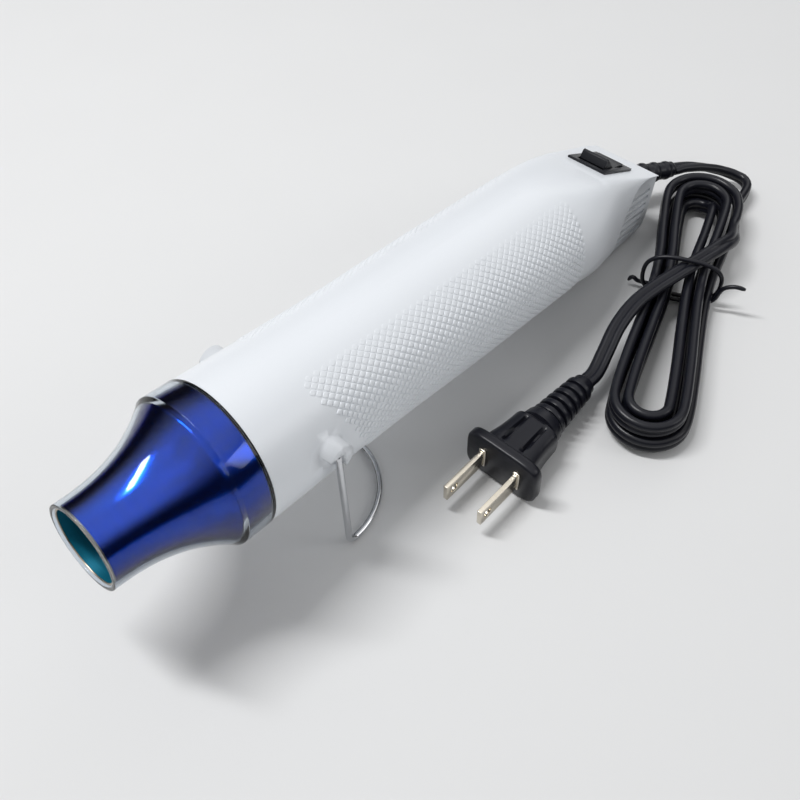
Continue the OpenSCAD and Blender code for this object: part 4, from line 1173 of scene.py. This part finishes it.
def relief_line():
    """Middle line of the strain relief: straight out of the wall, round its elbow and along its stub"""
    points = [Vector((REAR_S - WALL - 1.6 * MM + i * 0.55 * MM, 0, CORD_U)) for i in range(12)]
    for i in range(1, 9):
        angle = RELIEF_YAW * i / 8
        points.append(Vector((REAR_S + RELIEF_OUT + RELIEF_BEND * math.sin(angle),
            -RELIEF_BEND * (1 - math.cos(angle)), CORD_U)))
    ahead = Vector((math.cos(RELIEF_YAW), -math.sin(RELIEF_YAW), 0))
    end = points[-1]
    points += [end + ahead * (RELIEF_LEN * i / 60) for i in range(1, 61)]
    return [TO_ROW @ p for p in points]


class HEATTOOL_OT_relief(bpy.types.Operator):
    """Mould the strain relief: a wall collar, a smooth elbow and a tapered ribbed stub"""
    bl_idname = "heattool.relief"
    bl_label = "Strain relief"

    def execute(self, context):
        line = relief_line()
        stub_from = len(line) - 61
        wall_from = 4

        def radius(i):
            if i < 3:
                return RELIEF_R + 1.45 * MM
            if i < stub_from:
                return RELIEF_R - 0.12 * MM * ease((i - wall_from) / 6)
            share = (i - stub_from) / 60
            slim = RELIEF_R + (RELIEF_TIP_R - RELIEF_R) * share
            rib = 0.5 * MM * max(0, math.sin(share * 3 * 2 * math.pi - 0.6)) ** 0.5
            closed = 0.35 * MM * max(0, share - 0.96) / 0.04
            return slim - 0.25 * MM + rib * (1 - 0.4 * share) - closed

        def ring(i):
            r = radius(i)
            angles = (2 * math.pi * k / 40 for k in range(40))
            return [(r * math.cos(angle), r * math.sin(angle)) for angle in angles]

        mesh = swept(line, ring, "relief_moulding")
        make_piece("relief_moulding", mesh, cord_vinyl(), "tool", ("strain_relief",),
            smooth=math.radians(50))
        return {"FINISHED"}


# Tie: a coated wire that goes one and a half times round the waist of the hank
TIE_HALF = WAIST_OUT + CORD_T / 2 + TIE_R + 0.4 * MM
TIE_TOP = TAIL_Z + CORD_T / 2 + TIE_R + 0.3 * MM
TIE_STEP = 1.75 * MM


def tie_line():
    """Middle line of the tie: a free end, one and a third turns round the waist, and the other free end"""
    middle, rise = (TIE_TOP + TIE_R) / 2, (TIE_TOP - TIE_R) / 2
    stops = [(-TIE_HALF - 8 * MM, middle + 3 * MM, 0), (-TIE_HALF - 4.5 * MM, middle + 3.2 * MM, 0),
        (-TIE_HALF - 1.2 * MM, middle + 1.5 * MM, 0)]
    first, last = math.pi * 1.03, math.pi * 3.75
    for i in range(61):
        angle = first + (last - first) * i / 60
        c, s = math.cos(angle), math.sin(angle)
        across = TIE_HALF * math.copysign(abs(c) ** 0.72, c)
        stops.append((across, middle + rise * math.copysign(abs(s) ** 0.72, s), 1.8 * i / 60))
    stops += [(TIE_HALF + 1.2 * MM, TIE_R + 2.2 * MM, 1.8), (TIE_HALF + 3.2 * MM, TIE_R + 3.4 * MM, 1.8),
        (TIE_HALF + 4.4 * MM, TIE_R + 1.4 * MM, 1.9)]
    route = [(hank_place(HANK_WAIST_X + (shift - 0.9) * TIE_STEP, y, z), 0) for y, z, shift in stops]
    return [point for point, _ in smooth_route(route, 0.8 * MM)]


class HEATTOOL_OT_tie(bpy.types.Operator):
    """Wind the coated tie round the waist of the hank and leave its two ends long"""
    bl_idname = "heattool.tie"
    bl_label = "Tie"

    def execute(self, context):
        line = tie_line()
        last = len(line) - 1

        def ring(i):
            tip = min(1, min(i, last - i) / 1.5)
            r = TIE_R * (0.55 + 0.4 * math.sqrt(tip))
            angles = (2 * math.pi * k / 16 for k in range(16))
            return [(r * math.cos(angle), r * math.sin(angle)) for angle in angles]

        mesh = swept(line, ring, "tie_wire")
        make_piece("tie_wire", mesh, cord_vinyl(), "tool", ("twist_tie",),
            smooth=math.radians(60))
        return {"FINISHED"}


# Plug
FLANGE_T = 3.6 * MM
FLANGE_HALF = (13 * MM, 8.5 * MM)
GRIP_BACK = FLANGE_T + 15 * MM
COLLAR_BACK = GRIP_BACK + 4.5 * MM
RIB_PITCH = 3.1 * MM
RIB_R = 5.9 * MM
RIB_CORE_R = 3.9 * MM
BLADE_PITCH = 12.7 * MM
SHOULDER_X = -0.35 * MM     # middle of a blade's shoulder, seen from the plug's face
SHOULDER = (0.9 * MM, 2.4 * MM, 7.6 * MM)


def outline(half_w, half_h, power, steps=96):
    """A rounded box section, from an oval at power 2 to nearly square at power 8"""
    points = []
    for k in range(steps):
        angle = 2 * math.pi * (k + 0.5) / steps
        c, s = math.cos(angle), math.sin(angle)
        reach = (abs(c) ** power + abs(s) ** power) ** (-1 / power)
        points.append((half_w * reach * c, half_h * reach * s))
    return points


def plug_sections():
    """Distance behind the front face, half width, half height, squareness and groove depth along the plug"""
    w, h = FLANGE_HALF
    edge = 0.7 * MM
    out = [(0, w - edge, h - edge, 5, 0), (0.2 * MM, w - 0.25 * MM, h - 0.25 * MM, 5, 0), (edge, w, h, 5, 0),
        (FLANGE_T - edge, w, h, 5, 0), (FLANGE_T - 0.2 * MM, w - 0.25 * MM, h - 0.25 * MM, 5, 0),
        (FLANGE_T, w - edge, h - edge, 5, 0), (FLANGE_T + 0.1 * MM, 10 * MM, 7 * MM, 4.5, 0),
        (FLANGE_T + 0.7 * MM, 9.5 * MM, 6.6 * MM, 4.5, 0)]
    steps = 30
    for i in range(1, steps):
        share = i / steps
        d = FLANGE_T + 0.7 * MM + (GRIP_BACK - FLANGE_T - 1.4 * MM) * share
        pinch = 0.35 * MM * math.sin(math.pi * share)
        groove = 1.3 * MM * min(1, 9 * min(share - 0.02, 0.98 - share))
        out.append((d, (9.5 - 1.5 * share) * MM - pinch, (6.6 - 0.8 * share) * MM - pinch / 2, 4.5 - share,
            max(0, groove)))
    out += [(GRIP_BACK - 0.4 * MM, 7.8 * MM, 5.75 * MM, 3.4, 0),
        (GRIP_BACK - 0.1 * MM, 7 * MM, 5.5 * MM, 3, 0),
        (GRIP_BACK, 6.9 * MM, 5.8 * MM, 2.3, 0), (GRIP_BACK + 0.4 * MM, 7 * MM, 6.9 * MM, 2, 0),
        (COLLAR_BACK - 1.2 * MM, 6.5 * MM, 6.5 * MM, 2, 0),
        (COLLAR_BACK - 0.5 * MM, 6.2 * MM, 6.2 * MM, 2, 0),
        (COLLAR_BACK - 0.1 * MM, 5.5 * MM, 5.5 * MM, 2, 0),
        (COLLAR_BACK, RIB_CORE_R + 0.3 * MM, RIB_CORE_R + 0.3 * MM, 2, 0),
        (COLLAR_BACK + 0.3 * MM, RIB_CORE_R, RIB_CORE_R, 2, 0)]
    end = PLUG_BACK - PLUG_AT.x
    return out + [(end - 0.6 * MM, RIB_CORE_R - 0.25 * MM, RIB_CORE_R - 0.25 * MM, 2, 0),
        (end, RIB_CORE_R - 0.8 * MM, RIB_CORE_R - 0.8 * MM, 2, 0)]


def ribs_tree():
    """Copies of a ring in a row along X that grow smaller one by one"""
    tree = bpy.data.node_groups.new("Relief ribs", "GeometryNodeTree")
    inputs = (("Rib", "NodeSocketObject"), ("Count", "NodeSocketInt"), ("Pitch", "NodeSocketFloat"),
        ("Taper", "NodeSocketFloat"), ("Start", "NodeSocketVector"), ("Material", "NodeSocketMaterial"))
    for label, kind in inputs:
        tree.interface.new_socket(label, in_out="INPUT", socket_type=kind)
    tree.interface.new_socket("Geometry", in_out="OUTPUT", socket_type="NodeSocketGeometry")
    into, out = tree.nodes.new("NodeGroupInput"), tree.nodes.new("NodeGroupOutput")
    link = tree.links.new
    row = tree.nodes.new("GeometryNodeMeshLine")
    step = tree.nodes.new("ShaderNodeCombineXYZ")
    link(into.outputs["Pitch"], step.inputs["X"])
    link(into.outputs["Count"], row.inputs["Count"])
    link(into.outputs["Start"], row.inputs["Start Location"])
    link(step.outputs["Vector"], row.inputs["Offset"])
    rib = tree.nodes.new("GeometryNodeObjectInfo")
    link(into.outputs["Rib"], rib.inputs["Object"])
    size = tree.nodes.new("ShaderNodeCombineXYZ")
    size.inputs["X"].default_value = 1
    index = tree.nodes.new("GeometryNodeInputIndex").outputs[0]
    shrink = node_maths(tree, "SUBTRACT", 1, node_maths(tree, "MULTIPLY", index, into.outputs["Taper"]))
    for axis in ("Y", "Z"):
        link(shrink, size.inputs[axis])
    copies = tree.nodes.new("GeometryNodeInstanceOnPoints")
    link(row.outputs["Mesh"], copies.inputs["Points"])
    link(rib.outputs["Geometry"], copies.inputs["Instance"])
    link(size.outputs["Vector"], copies.inputs["Scale"])
    real = tree.nodes.new("GeometryNodeRealizeInstances")
    link(copies.outputs["Instances"], real.inputs["Geometry"])
    finish = tree.nodes.new("GeometryNodeSetMaterial")
    link(real.outputs["Geometry"], finish.inputs["Geometry"])
    link(into.outputs["Material"], finish.inputs["Material"])
    link(finish.outputs["Geometry"], out.inputs["Geometry"])
    return tree


def rib_ring():
    """One soft-edged ring round X, 2 mm wide, sunk a little into the core"""
    foot = RIB_CORE_R - 0.4 * MM
    profile = ((0, foot), (0, RIB_R - 0.5 * MM), (0.15 * MM, RIB_R - 0.15 * MM), (0.5 * MM, RIB_R),
        (1.5 * MM, RIB_R), (1.85 * MM, RIB_R - 0.15 * MM), (2 * MM, RIB_R - 0.5 * MM), (2 * MM, foot))
    bm = bmesh.new()
    steps = 56
    rows = [[bm.verts.new((x, r * math.cos(2 * math.pi * i / steps), r * math.sin(2 * math.pi * i / steps)))
        for x, r in profile] for i in range(steps)]
    for i in range(steps):
        here, there = rows[i], rows[(i + 1) % steps]
        for k in range(len(profile)):
            m = (k + 1) % len(profile)
            bm.faces.new((here[k], here[m], there[m], there[k]))
    return to_mesh(bm, "rib_ring")


class HEATTOOL_OT_plug(bpy.types.Operator):
    """Mould the plug: flange, waisted grip with two grooves, collar and ribs, with its two blades"""
    bl_idname = "heattool.plug"
    bl_label = "Plug"

    def execute(self, context):
        bm = bmesh.new()
        rings = []
        for d, w, h, power, groove in plug_sections():
            ring = []
            for y, z in outline(w, h, power):
                cut = sum(math.exp(-((y - middle) / (0.55 * MM)) ** 4) for middle in (-3.4 * MM, 3.4 * MM))
                depth = groove * cut if abs(z) > 0.5 * h else 0
                ring.append(bm.verts.new(PLUG_AT + Vector((d, y, z - math.copysign(depth, z)))))
            rings.append(ring)
        for here, there in zip(rings, rings[1:]):
            for k in range(len(here)):
                m = (k + 1) % len(here)
                bm.faces.new((here[k], here[m], there[m], there[k]))
        bm.faces.new(rings[0])
        bm.faces.new(rings[-1])
        ring_shape = bpy.data.objects.new("rib_shape", rib_ring())
        start = PLUG_AT + Vector((COLLAR_BACK, 0, 0))
        ribs = run_tree(ribs_tree(), "plug_ribs", {"Rib": ring_shape, "Count": sizes().plug_ribs,
            "Pitch": RIB_PITCH, "Taper": 0.25 * MM / RIB_R, "Start": start, "Material": cord_vinyl()})
        bpy.data.objects.remove(ring_shape)
        bmesh.ops.recalc_face_normals(bm, faces=bm.faces[:])
        bm.from_mesh(ribs)
        mesh = bpy.data.meshes.new("plug_moulding")
        bm.to_mesh(mesh)
        bm.free()
        make_piece("plug_moulding", mesh, cord_vinyl(), "tool", ("plug_body",),
            smooth=math.radians(42))
        blades = rounded_copy("plug_blades", 0.2 * MM)
        for side in (-1, 1):
            middle = PLUG_AT + Vector((SHOULDER_X, side * BLADE_PITCH / 2, 0))
            size = Matrix.Diagonal((*SHOULDER, 1))
            made = bmesh.ops.create_cube(blades, size=1, matrix=Matrix.Translation(middle) @ size)
            edges = list(dict.fromkeys(edge for vert in made["verts"] for edge in vert.link_edges))
            bmesh.ops.bevel(blades, geom=edges, offset=0.25 * MM, segments=2, profile=0.5, affect="EDGES")
        make_piece("blades", to_mesh(blades, "blades"), blade_nickel(), "tool", ("plug_blades",))
        return {"FINISHED"}


class HEATTOOL_OT_inside(bpy.types.Operator):
    """Give the heater, motor, fan and board their own finishes"""
    bl_idname = "heattool.inside"
    bl_label = "Inner pieces"

    def execute(self, context):
        for node, (name, color, roughness, metallic) in INNER_FINISHES.items():
            streaks = (300, 500) if metallic else None
            material = finish_material(name, color, roughness, metallic, mottle=0.12, streaks=streaks)
            for material_slot in frame["nodes"][node].material_slots:
                material_slot.material = material
        return {"FINISHED"}


def aim(target, place):
    return (Vector(place) - Vector(target)).to_track_quat("Z", "Y")


def add_softbox(name, place, target, size, power):
    light = bpy.data.lights.new(name, "AREA")
    light.shape = "RECTANGLE"
    light.size, light.size_y = size
    light.energy = power
    lamp = bpy.data.objects.new(name, light)
    lamp.location = place
    lamp.rotation_mode = "QUATERNION"
    lamp.rotation_quaternion = aim(target, place)
    bpy.context.scene.collection.objects.link(lamp)


def add_camera():
    """The photograph's own viewpoint"""
    pitch, azimuth, roll = CAMERA_PITCH, CAMERA_AZIMUTH, CAMERA_ROLL
    flat = math.cos(pitch)
    forward = Vector((-math.sin(azimuth) * flat, math.cos(azimuth) * flat, -math.sin(pitch)))
    level = Vector((math.cos(azimuth), math.sin(azimuth), 0))
    down = forward.cross(level)
    right = math.cos(roll) * level + math.sin(roll) * down
    up = math.sin(roll) * level - math.cos(roll) * down
    camera = bpy.data.objects.new("camera", bpy.data.cameras.new("camera"))
    camera.data.sensor_width = SENSOR_MM
    camera.data.lens = SENSOR_MM * FOCAL_PX / IMAGE_PX
    camera.data.clip_start = 0.01
    camera.matrix_world = Matrix.Translation(CAMERA_AT) @ Matrix((right, up, -forward)).transposed().to_4x4()
    bpy.context.scene.collection.objects.link(camera)
    bpy.context.scene.camera = camera


def floor_material():
    """Pale floor that keeps the shadow, with a very faint unevenness"""
    return finish_material("Pale floor", (0.72, 0.725, 0.73), 0.7, grain=120, bump=0.00002, mottle=0.01)


ROOM_LIGHT = 0.42
KEY_W, FILL_W, RIM_W = 7.6, 1, 0.6
WALL_LOW = 0.3      # height at which the walls are darkest in reflections
WALL_HIGH = 0.86    # height from which they are bright
WALL_DIM = 0.03
WALL_BRIGHT = 1.1


def set_world():
    """A white room, dimmer as a lamp than it looks, whose walls darken towards the floor in reflections"""
    world = bpy.data.worlds.new("Soft white room")
    bpy.context.scene.world = world
    world.use_nodes = True
    nodes, links = world.node_tree.nodes, world.node_tree.links
    background = nodes["Background"]
    background.inputs["Color"].default_value = (1, 1, 1, 1)
    rays = nodes.new("ShaderNodeLightPath")
    either = nodes.new("ShaderNodeMath")
    either.operation = "MAXIMUM"
    links.new(rays.outputs["Is Camera Ray"], either.inputs[0])
    links.new(rays.outputs["Is Transmission Ray"], either.inputs[1])
    strength = nodes.new("ShaderNodeMapRange")
    strength.inputs["To Min"].default_value = ROOM_LIGHT
    strength.inputs["To Max"].default_value = 1
    links.new(either.outputs["Value"], strength.inputs["Value"])
    place = nodes.new("ShaderNodeNewGeometry")
    height = nodes.new("ShaderNodeSeparateXYZ")
    links.new(place.outputs["Position"], height.inputs["Vector"])
    walls = nodes.new("ShaderNodeMapRange")
    walls.interpolation_type = "SMOOTHSTEP"
    walls.inputs["From Min"].default_value = WALL_LOW
    walls.inputs["From Max"].default_value = WALL_HIGH
    walls.inputs["To Min"].default_value = WALL_DIM
    walls.inputs["To Max"].default_value = WALL_BRIGHT
    links.new(height.outputs["Z"], walls.inputs["Value"])
    choice = nodes.new("ShaderNodeMix")
    links.new(rays.outputs["Is Glossy Ray"], choice.inputs["Factor"])
    links.new(strength.outputs["Result"], choice.inputs["A"])
    links.new(walls.outputs["Result"], choice.inputs["B"])
    links.new(choice.outputs["Result"], background.inputs["Strength"])


class HEATTOOL_OT_stage(bpy.types.Operator):
    """Set the camera, the pale floor and soft studio light"""
    bl_idname = "heattool.stage"
    bl_label = "Stage"

    def execute(self, context):
        add_camera()
        half = 3
        bm = bmesh.new()
        corners = ((-half, -half), (half, -half), (half, half), (-half, half))
        bm.faces.new([bm.verts.new((x, y, -0.0002)) for x, y in corners])
        mesh = bpy.data.meshes.new("floor")
        bm.to_mesh(mesh)
        bm.free()
        mesh.materials.append(floor_material())
        floor = bpy.data.objects.new("floor", mesh)
        context.scene.collection.objects.link(floor)
        add_softbox("key_light", (-0.2, 0.35, 1.0), (0, 0, 0), (0.1, 0.5), KEY_W)
        add_softbox("fill_light", (0.45, -0.75, 0.5), (0, 0, 0), (0.35, 0.35), FILL_W)
        add_softbox("rim_light", (0.9, 0.2, 0.5), (0, 0, 0), (0.5, 0.5), RIM_W)
        set_world()
        context.scene.view_settings.view_transform = "Standard"
        return {"FINISHED"}


OPERATORS = (HEATTOOL_OT_stage, HEATTOOL_OT_relief, HEATTOOL_OT_tie, HEATTOOL_OT_plug, HEATTOOL_OT_lead,
    HEATTOOL_OT_housing, HEATTOOL_OT_screws, HEATTOOL_OT_grip, HEATTOOL_OT_nozzle, HEATTOOL_OT_stand,
    HEATTOOL_OT_switch, HEATTOOL_OT_inside)


class HEATTOOL_PT_panel(bpy.types.Panel):
    """Lists the tool's sizes and the steps that build it"""
    bl_idname = "HEATTOOL_PT_panel"
    bl_label = "Embossing heat tool"
    bl_space_type = "VIEW_3D"
    bl_region_type = "UI"
    bl_category = "Heat tool"

    def draw(self, context):
        for name in HeatToolSizes.__annotations__:
            self.layout.prop(context.scene.heat_tool, name)
        for operator in OPERATORS:
            self.layout.operator(operator.bl_idname)


CLASSES = (HeatToolSizes, *OPERATORS, HEATTOOL_PT_panel)


def register():
    for each in CLASSES:
        bpy.utils.register_class(each)
    bpy.types.Scene.heat_tool = PointerProperty(type=HeatToolSizes)


def unregister():
    del bpy.types.Scene.heat_tool
    for each in reversed(CLASSES):
        bpy.utils.unregister_class(each)


def main():
    register()
    for operator in OPERATORS:
        group, name = operator.bl_idname.split(".")
        getattr(getattr(bpy.ops, group), name)()


if __name__ == "__main__":
    main()
